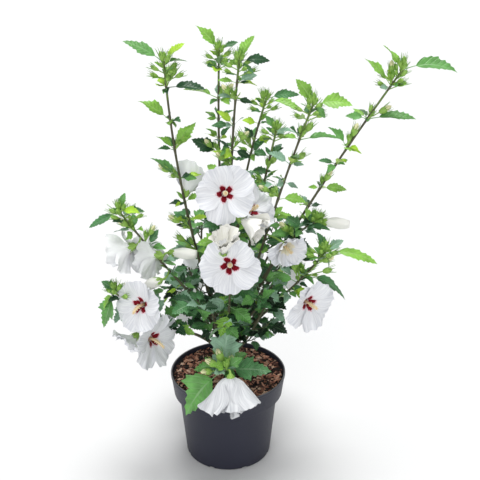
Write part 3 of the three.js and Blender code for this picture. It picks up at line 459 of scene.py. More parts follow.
# ---------------------------------------------------------------------------------------------
# The trunk and boughs: woody stems, grey-brown and ribbed at the foot and olive higher up. Each
# shoot leaves its parent's axis and bends once, through two guide points, to its end; up to the
# place called "enters" it is a bough, and past that it is a leafy mass.
# ---------------------------------------------------------------------------------------------
# leaves: [place, azimuth, lift, length, droop]; azimuth 0 is to the right and 90 to the back.
# tip_leaves: the same with no place. buds: [place, azimuth, lift, stalk]. flowers: on is the
# place on the stem, eye the flower's middle, faces its axis, open how far its petals lean out.
SHOOTS = {
    "centre_tall": dict(
        parent="trunk", at=1, guides=[[4, 10, 320], [0, 15, 500]], end=[19, 20, 662], enters=0.52,
        leaves=[[0.93, 170, 20, 30], [0.878, 0, 5, 26], [0.8, 250, 25, 34], [0.725, 0, -12, 32],
          [0.693, 160, 30, 38], [0.62, 20, 30, 42], [0.57, 200, 20, 44]],
        tip_leaves=[[0, 14, 46], [40, 63, 45], [330, -20, 30]],
        buds=[[0.878, 200, 50, 15], [0.725, 20, 45, 20], [0.67, 180, 45, 15]],
        tint="young"),
    "left_tall": dict(
        parent="trunk", at=0.76, guides=[[-36, 0, 300], [-80, -12, 480]], end=[-88, -20, 668],
        enters=0.4,
        leaves=[[0.932, 0, 10, 58], [0.843, 180, 46, 56], [0.76, 0, 67, 54], [0.675, 180, 50, 56],
          [0.6, 0, 45, 28], [0.54, 0, 25, 30], [0.435, 180, 5, 42]],
        tip_leaves=[[180, 42, 66], [30, 50, 42], [10, 15, 34]],
        buds=[[0.932, 10, 65, 18], [0.76, 0, 50, 16], [0.675, 180, 35, 20], [0.51, 185, 35, 22],
          [0.435, 180, 40, 25]],
        flowers=[dict(on=0.6, eye=[-61, 1, 467], faces=[0.31, 0.68, 0.67], open=40, petal=48)],
        tint="young"),
    "right_tall": dict(
        parent="trunk", at=0.7, guides=[[34, -8, 290], [66, -24, 445]], end=[124, -42, 612],
        enters=0.46,
        leaves=[[0.89, 0, 15, 62], [0.81, 180, 43, 38], [0.75, 0, -10, 24], [0.69, 0, 15, 44, 45],
          [0.62, 190, 25, 34], [0.54, 20, 20, 46], [0.49, 200, 0, 44]],
        tip_leaves=[[180, 70, 46], [0, 22, 58, 45], [330, -25, 26]],
        buds=[[0.89, 20, 50, 16], [0.81, 0, 40, 14], [0.7, 180, 30, 18]],
        flowers=[dict(on=0.56, eye=[88, -60, 399], faces=[0.36, -0.93, -0.1], open=52, petal=36)],
        tint="young"),
    "mid_right": dict(
        parent="trunk", at=0.9, guides=[[20, 22, 300], [50, 38, 430]], end=[76, 50, 548], enters=0.5,
        leaves=[[0.878, 180, 35, 28], [0.777, 180, 50, 30], [0.72, 10, 20, 34], [0.64, 60, 25, 40],
          [0.58, 20, 5, 44]],
        tip_leaves=[[150, 60, 30], [290, 20, 32], [0, 5, 34]],
        buds=[[0.82, 10, 60, 14], [0.77, 180, 25, 16]],
        tint="bright"),
    "rear_left": dict(
        parent="centre_tall", at=0.1, guides=[[-6, 44, 320], [-18, 76, 480]], end=[-12, 82, 664],
        enters=0.5,
        leaves=[[0.95, 60, 30, 32], [0.863, 180, 28, 57], [0.8, 0, 45, 30], [0.74, 20, 55, 28],
          [0.688, 185, 46, 52], [0.62, 120, 20, 44], [0.56, 60, 10, 46]],
        tip_leaves=[[180, 62, 54], [20, 35, 34], [250, 30, 28]],
        buds=[[0.863, 0, 45, 14], [0.688, 200, 50, 20]],
        tint="young"),
    "rear_right": dict(
        parent="mid_right", at=0.12, guides=[[8, 62, 320], [12, 96, 424]], end=[62, 110, 582],
        enters=0.5,
        leaves=[[0.912, 200, 30, 30], [0.845, 20, 20, 34], [0.8, 150, 30, 32], [0.72, 0, 20, 42],
          [0.64, 120, 10, 46], [0.57, 40, 5, 48]],
        tip_leaves=[[180, 5, 28], [10, 25, 56, 40], [340, 0, 60, 30]],
        buds=[[0.82, 150, 45, 20]],
        tint="bright"),
    "far_right": dict(
        parent="right_tall", at=0.09, guides=[[46, -5, 300], [118, 4, 442]], end=[258, 10, 652],
        enters=0.5,
        leaves=[[0.958, 180, 58, 60], [0.875, 0, 12, 74, 25], [0.797, 180, 60, 45], [0.75, 180, 25, 28],
          [0.675, 0, 10, 42], [0.613, 180, 70, 26], [0.55, 30, 0, 44]],
        tip_leaves=[[180, 63, 48], [0, 24, 84, 55], [90, 40, 28]],
        buds=[[0.958, 90, 80, 18], [0.875, 0, 30, 20], [0.797, 0, 70, 20], [0.675, 0, 60, 15]],
        tint="young"),
    "left": dict(
        parent="left_tall", at=0.08, guides=[[-40, -28, 290], [-84, -46, 340]], end=[-160, -48, 452],
        enters=0.42,
        leaves=[[0.9, 100, 50, 30], [0.8, 60, 50, 34], [0.7, 100, 20, 40], [0.62, 90, -10, 44],
          [0.52, 200, -30, 42], [0.46, 60, 20, 40]],
        tip_leaves=[[60, 70, 30], [10, 10, 38], [180, -24, 54, 10], [330, 30, 40, 50]],
        buds=[[0.9, 200, 40, 14], [0.83, 0, 60, 15]],
        flowers=[dict(on=0.86, eye=[-147, -57, 396], faces=[-0.88, 0.21, -0.43], open=62),
          dict(on=0.72, eye=[-109, -43, 379], faces=[-0.84, 0.53, -0.11], open=58),
          dict(on=0.64, eye=[-110, -61, 340], faces=[-0.93, -0.05, -0.37], open=0, petal=24),
          dict(on=0.7, eye=[-78, -32, 376], faces=[1, -0.1, 0], open=0)], tint="bright"),
    "left_low": dict(
        parent="trunk", at=0.42, guides=[[-50, -36, 268], [-92, -66, 234]], end=[-169, -80, 335],
        enters=0.36,
        leaves=[[0.9, 190, -35, 38], [0.84, 100, 40, 36], [0.7, 100, 66, 54], [0.62, 60, 50, 44],
          [0.55, 190, 25, 34], [0.42, 60, 30, 40]],
        tip_leaves=[[185, -45, 36], [196, -66, 62, 10], [150, 40, 28]],
        buds=[[0.9, 120, 60, 14]],
        flowers=[dict(on=0.86, eye=[-128, -94, 319], faces=[-0.44, -0.85, 0.3], open=74),
          dict(on=0.72, eye=[-114, -86, 257], faces=[0.8, -0.59, 0.09], open=72, petal=48),
          dict(on=0.8, eye=[-146, -72, 248], faces=[-0.6, -0.5, -0.6], open=50, petal=32)], tint="mid"),
    "right": dict(
        parent="trunk", at=0.5, guides=[[44, -18, 262], [96, -50, 312]], end=[148, -60, 391],
        enters=0.4,
        leaves=[[0.92, 60, 40, 32], [0.8, 5, -4, 84, 60], [0.74, 150, 20, 44, 40], [0.66, 120, 30, 40],
          [0.56, 60, 0, 44], [0.5, 300, -10, 42], [0.44, 120, 25, 44]],
        tip_leaves=[[0, 8, 84, 44], [180, 80, 36], [20, 40, 34], [300, -50, 24]],
        buds=[[0.9, 340, 30, 15], [0.8, 180, 50, 14], [0.8, 0, 15, 30], [0.8, 200, 60, 20],
          [0.75, 230, 70, 24]],
        flowers=[dict(on=0.7, eye=[122, -86, 319], faces=[0.55, -0.83, 0.03], open=70, petal=46)],
        tint="bright"),
    "right_mid": dict(
        parent="far_right", at=0.3, guides=[[66, -14, 340], [94, -18, 404]], end=[138, -8, 419],
        enters=0.4,
        leaves=[[0.9, 270, 40, 26], [0.82, 170, 50, 34], [0.7, 300, -40, 34], [0.62, 180, 15, 36],
          [0.52, 60, 10, 40]],
        tip_leaves=[[90, 20, 30]],
        buds=[[0.7, 190, 50, 15]],
        flowers=[dict(on=1, eye=[156, -10, 418], faces=[0.97, -0.1, -0.05], open=0)], tint="mid"),
    "centre_front_high": dict(
        parent="centre_tall", at=0.14, guides=[[-2, -34, 300], [-4, -54, 400]], end=[-2, -40, 470],
        enters=0.5,
        leaves=[[0.9, 180, 30, 38], [0.8, 30, 30, 40], [0.7, 190, 10, 44], [0.6, 0, 0, 44]],
        tip_leaves=[[80, 50, 32], [170, 40, 34], [20, 40, 34]],
        buds=[[0.95, 60, 50, 14], [0.85, 170, 50, 15]],
        flowers=[dict(on=0.97, eye=[-2, -72, 488], faces=[0.08, -0.93, 0.35], open=76, petal=46),
          dict(on=0.9, eye=[36, -46, 452], faces=[0.55, -0.45, 0.6], open=60),
          dict(on=0.82, eye=[26, -76, 447], faces=[0.75, -0.35, -0.3], open=22)], tint="mid"),
    "centre_front_low": dict(
        parent="trunk", at=0.8, guides=[[2, -45, 262], [4, -74, 318]], end=[6, -74, 376], enters=0.42,
        leaves=[[0.85, 190, 10, 40], [0.75, 350, 0, 44], [0.65, 210, -10, 46], [0.55, 330, -15, 46],
          [0.48, 250, -20, 46]],
        tip_leaves=[[60, 30, 36], [130, 20, 38]],
        buds=[[0.9, 10, 30, 20], [0.8, 200, 30, 20]],
        flowers=[dict(on=0.95, eye=[5, -100, 387], faces=[0.03, -0.95, 0.32], open=76, petal=44),
          dict(on=0.98, eye=[-4, -101, 412], faces=[0, -0.4, 0.9], open=18)], tint="mid"),
    "core_left": dict(
        parent="trunk", at=0.93, guides=[[-24, -16, 240], [-46, -20, 276]], end=[-62, -18, 312],
        enters=0, twigs=5, reach=46, seed=11, tint="deep"),
    "core_front": dict(
        parent="trunk", at=0.7, guides=[[-10, -36, 222], [-20, -56, 262]], end=[-26, -66, 308],
        enters=0, twigs=5, reach=46, seed=23, tint="deep"),
    "core_right": dict(
        parent="trunk", at=0.86, guides=[[26, -14, 244], [50, -26, 280]], end=[70, -34, 322],
        enters=0, twigs=5, reach=46, seed=37, tint="deep"),
    "core_low_right": dict(
        parent="trunk", at=0.3, guides=[[22, -22, 204], [42, -40, 246]], end=[64, -56, 310],
        enters=0, twigs=5, reach=40, seed=41, tint="deep"),
    "front_low": dict(
        parent="trunk", at=0.32, guides=[[-6, -44, 190], [-10, -88, 196]], end=[0, -118, 222],
        enters=0,
        leaves=[[0.7, 200, -28, 96, 40], [0.5, 200, 20, 50], [0.7, 60, 86, 84, 24], [0.8, 352, 14, 74, 22],
          [0.5, 30, 30, 46]],
        tip_leaves=[[200, 40, 30], [20, 45, 30]],
        buds=[[0.95, 170, 25, 16], [0.92, 125, 50, 15], [0.99, 70, 25, 8], [0.82, 195, 5, 20]],
        flowers=[dict(on=0.98, eye=[6, -136, 211], faces=[0.05, -0.3, -0.95], open=40, petal=60)],
        tint="fresh"),
    "back_mid": dict(
        parent="trunk", at=0.66, guides=[[2, 54, 250], [4, 104, 320]], end=[6, 140, 398], enters=0.34,
        twigs=6, reach=50, seed=53,
        flowers=[dict(on=0.9, eye=[0, 178, 386], faces=[-0.1, 0.95, 0.25], open=72),
          dict(on=0.7, eye=[23, 158, 291], faces=[0.1, 0.85, -0.2], open=62)], tint="mid"),
    "back_left": dict(
        parent="back_mid", at=0.14, guides=[[-34, 60, 262], [-50, 96, 310]], end=[-44, 112, 366],
        enters=0.34, twigs=5, reach=46, seed=67,
        flowers=[dict(on=0.8, eye=[-46, 150, 256], faces=[-0.45, 0.85, 0.2], open=70)], tint="mid"),
    "back_right": dict(
        parent="back_mid", at=0.22, guides=[[44, 70, 274], [78, 92, 320]], end=[82, 106, 372],
        enters=0.34, twigs=5, reach=46, seed=71,
        flowers=[dict(on=0.8, eye=[92, 142, 266], faces=[0.55, 0.8, 0.2], open=68)], tint="mid"),
    "core_back_left": dict(
        parent="trunk", at=0.4, guides=[[-20, 30, 210], [-48, 58, 250]], end=[-66, 76, 302],
        enters=0, twigs=5, reach=46, seed=83,
        flowers=[dict(on=0.9, eye=[-62, 118, 208], faces=[-0.5, 0.85, 0], open=62)], tint="deep"),
    "core_back_right": dict(
        parent="trunk", at=0.5, guides=[[22, 26, 226], [56, 50, 268]], end=[86, 64, 318],
        enters=0, twigs=5, reach=46, seed=97, tint="deep"),
}
FLARE_RADIUS = 12.5
TRUNK_RADIUS = 7.6
FORK_RADIUS = 5.6
FLARE_HEIGHT = 0.3
BOUGH_RADIUS = 4.2
ENTRY_RADIUS = 2.1
TIP_RADIUS = 1.5
CLEARANCE = 0.3
BARK_FOOT = (0.155, 0.118, 0.08, 1)
BARK_OLIVE = (0.08, 0.078, 0.04, 1)
TRUNK_RIBS = 0.035
BOUGH_RIBS = 0.03


def unit(v):
    """The vector of length one in the direction of another."""
    return v / np.linalg.norm(v)


def heading(azimuth, lift):
    """Unit vector at an azimuth and a lift, in degrees."""
    a, b = math.radians(azimuth), math.radians(lift)
    return np.array([math.cos(a) * math.cos(b), math.sin(a) * math.cos(b), math.sin(b)])


class Curve:
    """A Bezier curve of three or four points, in millimetres."""

    def __init__(self, *points):
        self.points = [np.array(p, float) for p in points]

    def at(self, place):
        """The point at a place from 0 to 1."""
        rest = self.points
        while len(rest) > 1:
            rest = [(1 - place) * a + place * b for a, b in zip(rest, rest[1:])]
        return rest[0]

    def along(self, place):
        """The curve's direction there."""
        steps = [b - a for a, b in zip(self.points, self.points[1:])]
        while len(steps) > 1:
            steps = [(1 - place) * a + place * b for a, b in zip(steps, steps[1:])]
        return unit(steps[0])


def across(direction, guide=None):
    """Two directions across a line."""
    if guide is None:
        guide = (1, 0, 0) if abs(direction[1]) > 0.7 else (0, 1, 0)
    first = unit(np.cross(guide, direction))
    return first, np.cross(first, direction)


def around(side, other, turn):
    """The direction at an angle round a line, between the two directions across it."""
    return math.cos(turn) * side + math.sin(turn) * other


def tube(curve, start, end, radius_at, sides, rings):
    """Points and faces of a limb along a curve; radius_at takes the share along and the turn."""
    guide = (1, 0, 0) if abs(unit(curve.at(1) - curve.at(0))[1]) > 0.7 else (0, 1, 0)
    points = []
    for ring in range(rings + 1):
        share = ring / rings
        place = start + (end - start) * share
        middle, direction = curve.at(place), curve.along(place)
        side, other = across(direction, guide)
        for i in range(sides):
            turn = 2 * math.pi * i / sides
            radius = radius_at(share, turn)
            points.append(middle + radius * around(side, other, turn))
    faces = ring_faces(rings + 1, sides, inward=True)
    faces.append(tuple(range(sides)))
    faces.append(tuple(rings * sides + i for i in reversed(range(sides))))
    return points, faces


def even(start, end):
    """A radius that changes evenly from one end of a limb to the other."""
    return lambda share, turn: start + (end - start) * share


def ribs(share, turn, seed, depth):
    """Shallow ribs and knots of young bark, as a share of the radius."""
    swirl = math.sin(5 * turn + 9 * share + seed) + 0.6 * math.sin(11 * turn - 23 * share + 2 * seed)
    knots = math.sin(31 * share + 2 * math.sin(turn + seed))
    return 1 + depth * swirl + 0.5 * depth * knots


def trunk_radius(share, turn):
    """The source's taper and root flare, with ribs that run down into the flare."""
    if share > FLARE_HEIGHT:
        radius = TRUNK_RADIUS + (FORK_RADIUS - TRUNK_RADIUS) * (share - FLARE_HEIGHT) / (1 - FLARE_HEIGHT)
    else:
        swell = (1 - share / FLARE_HEIGHT) ** 2
        radius = TRUNK_RADIUS + (FLARE_RADIUS - TRUNK_RADIUS) * swell * (1 + 0.22 * math.sin(4 * turn + 1))
    return radius * ribs(share, turn, 0.7, TRUNK_RIBS)


def bough_radius(number):
    """The source's taper of a bough, with ribs of its own."""
    taper = even(BOUGH_RADIUS, ENTRY_RADIUS)
    return lambda share, turn: taper(share, turn) * ribs(share, turn, number, BOUGH_RIBS)


lines = {"trunk": Curve((-3, 3, SOIL_TOP + CLEARANCE), (-3, 3, 164), (-2, 1, 190), (0, 2, 214))}
for name, shoot in SHOOTS.items():
    lines[name] = Curve(lines[shoot["parent"]].at(shoot["at"]), *shoot["guides"], shoot["end"])
boughs = [name for name, shoot in SHOOTS.items() if shoot["enters"]]
wood = Heap()
wood.add(*tube(lines["trunk"], 0, 1, trunk_radius, sides=28, rings=44), 0)
for number, name in enumerate(boughs):
    enters = SHOOTS[name]["enters"]
    wood.add(*tube(lines[name], 0, enters, bough_radius(number), sides=12, rings=36), 1)
bark_foot, _ = mottled_material(
    "bark_foot", BARK_FOOT, variation=1.3, patches=70, grain=420, bump=0.9, roughness=0.85)
bark_olive, _ = mottled_material(
    "bark_olive", BARK_OLIVE, variation=1.0, patches=60, grain=500, bump=0.6, roughness=0.65)
woody_stems = wood.piece("woody_stems", [bark_foot, bark_olive], slot="bark")
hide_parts("trunk", *(f"bough_{name}" for name in boughs))

# ---------------------------------------------------------------------------------------------
# The flowers: five broad overlapping petals on a short funnel, white with a crimson blotch at
# the foot of each, a cream column of stamens in the middle, and a green calyx with thin bracts
# behind. Some are half furled, some long and closed, and one hangs over the rim, its white
# painted a darker grey as painted shade.
# ---------------------------------------------------------------------------------------------
CALYX_LENGTH = 14
PETAL_LENGTH = 42
THROAT_RADIUS = 3.0
PETAL_HALF_WIDTH = 25.5
PETAL_ROWS = np.concatenate((np.linspace(0, 0.4, 15)[:-1], np.linspace(0.4, 1, 12)))
PETAL_COLUMNS = 19
COLUMN_LENGTH = 24
BLOTCH_PLACE = 8.0
BLOTCH_LENGTH = 5.6
BLOTCH_WIDTH = 5.2
FURLED_GIRTH = 8.5
WHITE, BLUSH, CRIMSON, IVORY, THROAT, CREAM, ANTHER, SHADED_WHITE = range(8)
SEPAL, RIPE_TIP, BRACT = range(3)
# How far a flower's petals lean out, in degrees, where it shows its eye, shows its stamens, is
# white and not ivory, and is wide open. It is fully loose LOOSE_RANGE short of wide open.
EYE_SHOWS = 55
STAMENS_SHOW = 45
HALF_OPEN = 30
WIDE_OPEN = 79
LOOSE_RANGE = 16
# A flower hangs where its axis points down by more than this. Each of its petals closes by its
# own angle, starting from the one in front.
HANGS = -0.7
HANGING_DROOP = (34, 24, 50, 50, 24)
HANGING_FOOT = 84
HANGING_RUFFLE = 7.5
STEEPEST_FOOT = 30
LEAST_RUFFLE, LOOSE_RUFFLE = 1.3, 2.4
LONG_PETAL = 44
LOWER_SAG = 12
SETTLED = 0.4
RIM_CURL = 14
CORNER_ROUNDING = 0.15
STAMEN_COUNT = 38
STAMENS_FROM, STAMENS_OVER = 0.34, 0.62
COLUMN_RADII = (2.3, 1.4)
SEPAL_COUNT = 5
CALYX_GIRTH = 5.5
CALYX_ROWS = 6
CALYX_SIDES = 20
SPINDLE_ROWS = 12
SPINDLE_SIDES = 20
STALK_RADII = (1.3, 1.8)
GOLDEN_ANGLE = 137.5
# Painted light: the outer face of the white, blush, crimson and throat finishes is a lighter white than
# the inner white, standing in for light that shines through the thin petals.
LIT_PETAL_OUTSIDE = (0.90, 0.91, 0.92, 1)
# Name, colour, colour of the streaks, and colour of the outer face where that differs. The darker
# streak colour is partly the tone of the veins and partly painted shade of the fine folds.
PETAL_FINISHES = (
    ("petal_white", (0.81, 0.82, 0.84, 1), (0.62, 0.635, 0.68, 1), LIT_PETAL_OUTSIDE),
    ("petal_blush", (0.76, 0.56, 0.61, 1), (0.70, 0.44, 0.50, 1), LIT_PETAL_OUTSIDE),
    ("petal_crimson", (0.24, 0.002, 0.014, 1), (0.11, 0.001, 0.006, 1), LIT_PETAL_OUTSIDE),
    ("petal_ivory", (0.88, 0.875, 0.84, 1), (0.80, 0.79, 0.72, 1)),
    ("petal_throat", (0.80, 0.77, 0.62, 1), (0.74, 0.69, 0.50, 1), LIT_PETAL_OUTSIDE),
    ("column_cream", (0.80, 0.64, 0.38, 1), (0.74, 0.56, 0.30, 1)),
    ("anther", (0.84, 0.77, 0.56, 1), (0.78, 0.70, 0.46, 1)),
    # A darker grey white for the hanging flower: painted shade.
    ("petal_shaded_white", (0.70, 0.71, 0.725, 1), (0.46, 0.475, 0.50, 1)))
STREAK_STRETCH = (26, 1.6, 1)
STREAK_RANGE = (0.38, 0.72)
STREAK_DETAIL = 4
PETAL_GLOSS = 0.15
petal_chance = np.random.default_rng(5)


def strip_faces(rows, columns):
    """Faces of a sheet of points, row by row."""
    return [(r * columns + c, r * columns + c + 1, (r + 1) * columns + c + 1, (r + 1) * columns + c)
            for r in range(rows - 1) for c in range(columns - 1)]


def petal_spread(share, length):
    """Half the width of a petal: a narrow foot that opens into a broad blade."""
    return PETAL_HALF_WIDTH * length / PETAL_LENGTH * (
        0.1 + 0.9 * math.sin(min(1.0, share / 0.8) * math.pi / 2) ** 1.7)


def petal(foot, opening, length, width, ruffle, phase):
    """Points of a petal on the flower's upright axis, row by row from its foot to its rim.
    Its foot leans out by one angle and its outer part by another, in degrees. Its rim is
    notched, its blade waves more towards the rim, and shallow flutes run along it."""
    fine = np.linspace(0, 1, 60)
    ease = np.clip(fine / SETTLED, 0, 1)
    ease = ease * ease * (3 - 2 * ease)
    lean = np.radians(foot + (opening - foot) * ease + RIM_CURL * fine ** 3)
    radius = np.concatenate(([0], np.cumsum(np.sin(lean[1:]))))
    height = np.concatenate(([0], np.cumsum(np.cos(lean[1:]))))
    scale = length / math.hypot(radius[-1], height[-1])
    radius, height = THROAT_RADIUS + scale * radius, scale * height
    points = []
    for s in PETAL_ROWS:
        spread = width * petal_spread(s, length)
        for c in range(PETAL_COLUMNS):
            u = 2 * c / (PETAL_COLUMNS - 1) - 1
            rim = 1 - CORNER_ROUNDING * abs(u) ** 2.4 - 0.035 * math.cos(3.3 * u + 0.6 * math.sin(phase))
            rim += 0.018 * math.sin(11 * u + phase) + 0.014 * math.sin(19 * u + 3 * phase)
            reach = s * (1 + (rim - 1) * s)
            r, z, tilt = (np.interp(reach, fine, values) for values in (radius, height, lean))
            turn = min(spread / max(r, 3), 1.3) * u
            wave = ruffle * s ** 2 * math.sin(4.2 * u + phase + 2.2 * s)
            wave += 0.55 * ruffle * s ** 4 * math.sin(13 * u + 2.3 * phase)
            flutes = (0.34 * math.sin(26 * u + phase) + 0.5 * math.cos(9 * u)) * s * (1 - 0.55 * s)
            flutes += 0.5 * max(0, ruffle - 4) * s * math.sin(3.1 * u + phase)
            off = wave + flutes + 1.5 * u * min(1, 2 * s)
            r, z = r - off * math.cos(tilt), z + off * math.sin(tilt)
            points.append((r * math.sin(turn), r * math.cos(turn), z))
    return np.array(points)


def petal_finish(s, u, length, phase, kind):
    """Which finish a petal face has. An open flower has a crimson blotch with a pink edge, a
    half open one has a cream throat, and a furled one and the hanging one, painted darker grey as painted
    shade, are each all one colour."""
    if kind != CRIMSON:
        return THROAT if kind == WHITE and s < 0.4 + 0.05 * math.sin(9 * u + phase) else kind
    along = (s * length - BLOTCH_PLACE) / BLOTCH_LENGTH
    beside = u * petal_spread(s, length) / BLOTCH_WIDTH
    away = math.hypot(along, beside) * (1 + 0.06 * math.sin(9 * u + phase))
    if away < 1:
        return CRIMSON
    return BLUSH if away < 1.32 + 0.1 * math.sin(14 * u + phase) else WHITE


def stand_up(points, base, axis):
    """Puts points that stand on +Z onto a base and an axis."""
    side, other = across(axis)
    points = np.asarray(points)
    return base + points[:, :1] * side - points[:, 1:2] * other + points[:, 2:3] * axis


def spun(points, turn):
    """Points turned about the upright axis."""
    c, s = math.cos(turn), math.sin(turn)
    return points @ np.array([[c, s, 0], [-s, c, 0], [0, 0, 1]])


def add_petals(heap, throat, axis, opening, length, kind):
    """Five petals, each overlapping the next. The lower ones sag, those of a flower less than
    wide open are looser and more ruffled, and long ones are slimmer."""
    hangs, loose = axis[2] < HANGS, np.clip((WIDE_OPEN - opening) / LOOSE_RANGE, 0, 1)
    ruffle = HANGING_RUFFLE if hangs else LEAST_RUFFLE + LOOSE_RUFFLE * loose
    slim = 0 if hangs else 0.05 * max(0, length - LONG_PETAL)
    foot = HANGING_FOOT if hangs else min(opening, STEEPEST_FOOT)
    side, other = across(axis)
    start = math.atan2(side[1], other[1]) if hangs else petal_chance.uniform(0, 2 * math.pi)
    middle_u = np.linspace(-1, 1, PETAL_COLUMNS)
    middle_u = 0.5 * (middle_u[1:] + middle_u[:-1])
    middle_s = 0.5 * (PETAL_ROWS[1:] + PETAL_ROWS[:-1])
    grid_s, grid_u = np.meshgrid(PETAL_ROWS, np.linspace(0, 1, PETAL_COLUMNS), indexing="ij")
    uv = np.stack((grid_u.ravel(), grid_s.ravel()), axis=1)
    for k in range(5):
        phase, turn = petal_chance.uniform(0, 2 * math.pi), start + k * 2 * math.pi / 5
        downward = math.sin(turn) * side[2] + math.cos(turn) * other[2]
        outer = opening - HANGING_DROOP[k] if hangs else opening + LOWER_SAG * downward
        shape = petal(foot, outer + petal_chance.normal(0, 2 + 7 * loose),
                      length * petal_chance.uniform(0.96 - 0.06 * loose, 1.04 + 0.06 * loose),
                      petal_chance.uniform(0.96, 1.06) - slim, ruffle, phase)
        finish = [petal_finish(s, u, length, phase, kind) for s in middle_s for u in middle_u]
        heap.add(stand_up(spun(shape, turn), throat, axis),
                 strip_faces(len(PETAL_ROWS), PETAL_COLUMNS), finish, uv)


def add_stamens(heap, throat, axis):
    """The column: a cream tube that sags to one side, with short stamens round its outer part
    and a forked tip."""
    side, other = across(axis)
    sag = petal_chance.uniform(3, 9) * side * petal_chance.choice((-1, 1)) - np.array((0, 0, 6))
    tip = throat + axis * (COLUMN_LENGTH + 4) + sag
    column = Curve(throat, throat + 0.6 * (COLUMN_LENGTH + 4) * axis, tip)
    heap.add(*tube(column, 0, 1, even(*COLUMN_RADII), sides=9, rings=10), CREAM)
    octahedron = np.array([(1, 0, 0), (-1, 0, 0), (0, 1, 0), (0, -1, 0), (0, 0, 1), (0, 0, -1)])
    octahedron_faces = (
        (0, 2, 4), (2, 1, 4), (1, 3, 4), (3, 0, 4), (2, 0, 5), (1, 2, 5), (3, 1, 5), (0, 3, 5))
    for k in range(STAMEN_COUNT):
        place = STAMENS_FROM + STAMENS_OVER * k / STAMEN_COUNT
        out = around(side, other, k * math.radians(GOLDEN_ANGLE))
        root = column.at(place)
        end = root + (4.2 - 1.6 * place) * unit(out + 0.35 * axis)
        thread = Curve(root, 0.5 * (root + end), end)
        heap.add(*tube(thread, 0, 1, even(0.25, 0.2), sides=3, rings=1), CREAM)
        heap.add(0.85 * octahedron + end, octahedron_faces, ANTHER)
    for k in range(5):
        end = tip + 2.2 * around(side, other, k * 2 * math.pi / 5) + 1.8 * axis
        fork = Curve(tip - axis, tip + 0.6 * axis, end)
        heap.add(*tube(fork, 0, 1, even(0.4, 0.4), sides=4, rings=2), CREAM)


def add_calyx(heap, base, axis, girth, length, finish, bracts=8, bract_reach=1.0):
    """The green cup behind a flower or round a bud: five pointed sepals and a ring of thin bracts."""
    side, other = across(axis)
    points = []
    for r in range(CALYX_ROWS):
        s = r / (CALYX_ROWS - 1)
        for i in range(CALYX_SIDES):
            turn = 2 * math.pi * i / CALYX_SIDES
            point = 0.5 + 0.5 * math.cos(SEPAL_COUNT * turn)
            height = length * s * (0.6 + 0.4 * point)
            radius = girth * (0.3 + 0.88 * math.sin(min(1.0, s * 1.1) * math.pi / 2))
            radius *= 1 - 0.06 * (1 - point)
            points.append(base + axis * height + radius * around(side, other, turn))
    foot = tuple(reversed(range(CALYX_SIDES)))
    heap.add(points, ring_faces(CALYX_ROWS, CALYX_SIDES) + [foot], finish)
    for k in range(bracts):
        turn = 2 * math.pi * (k + 0.4 * petal_chance.uniform()) / bracts
        out, edge = around(side, other, turn), around(other, -side, turn)
        reach = bract_reach * length * petal_chance.uniform(0.8, 1.15)
        bend = Curve(base, base + 1.2 * girth * out + 0.25 * reach * axis,
                     base + (1.35 * girth + 1.2) * out + reach * axis)
        spine = [bend.at(t) for t in (0.05, 0.4, 0.75, 1)]
        widths = (0.5, 0.7, 0.45, 0.04)
        points = [p + sign * w * edge for p, w in zip(spine, widths) for sign in (-1, 1)]
        points += [p + 0.45 * out for p in spine]
        faces = []
        for r in range(3):
            a, b, m = 2 * r, 2 * r + 1, 8 + r
            faces += [(a, a + 2, m + 1, m), (m, m + 1, b + 2, b), (a, b, b + 2, a + 2)]
        heap.add(points, faces, finish)


def add_spindle(heap, base, axis, length, girth, finish, folds=0.1, twist=7.0, blunt=0.12):
    """A closed bud or a furled flower: a spindle whose folds wind round it."""
    side, other = across(axis)
    points = []
    for r in range(SPINDLE_ROWS):
        s = r / (SPINDLE_ROWS - 1)
        body = girth * math.sin(math.pi * (0.14 + (0.86 - blunt * 0.2) * s ** 1.15)) ** 0.8
        for i in range(SPINDLE_SIDES):
            turn = 2 * math.pi * i / SPINDLE_SIDES
            fold = 1 + folds * math.sin(5 * turn + twist * s) * min(1, 3 * s)
            out = around(side, other, turn)
            points.append(base + axis * (length * s) + max(0.12, body * fold) * out)
    end_cap = tuple(range((SPINDLE_ROWS - 1) * SPINDLE_SIDES, SPINDLE_ROWS * SPINDLE_SIDES))
    heap.add(points, ring_faces(SPINDLE_ROWS, SPINDLE_SIDES) + [end_cap], finish)


def make_streaks():
    """Fine streaks that run from a petal's foot to its rim, in its colour and its bump; their darker
    colour is partly vein tone and partly painted shade of fine folds.
    """
    group, inside, outside = new_surface_group("streaks", ("Color", "Shade"))
    nodes, links = group.nodes, group.links
    place, stretch = nodes.new("ShaderNodeUVMap"), nodes.new("ShaderNodeMapping")
    place.uv_map = "blade"
    stretch.inputs["Scale"].default_value = STREAK_STRETCH
    streak = nodes.new("ShaderNodeTexNoise")
    streak.inputs["Scale"].default_value = 1.0
    streak.inputs["Detail"].default_value = STREAK_DETAIL
    links.new(place.outputs["UV"], stretch.inputs["Vector"])
    links.new(stretch.outputs["Vector"], streak.inputs["Vector"])
    contrast = nodes.new("ShaderNodeMapRange")
    contrast.inputs["From Min"].default_value = STREAK_RANGE[0]
    contrast.inputs["From Max"].default_value = STREAK_RANGE[1]
    links.new(streak.outputs["Fac"], contrast.inputs["Value"])
    blend = nodes.new("ShaderNodeMix")
    blend.data_type = "RGBA"
    links.new(contrast.outputs["Result"], blend.inputs["Factor"])
    links.new(inside.outputs["Color"], blend.inputs[6])
    links.new(inside.outputs["Shade"], blend.inputs[7])
    links.new(blend.outputs[2], outside.inputs["Color"])
    links.new(streak.outputs["Fac"], outside.inputs["Height"])
    return group


streaks = make_streaks()


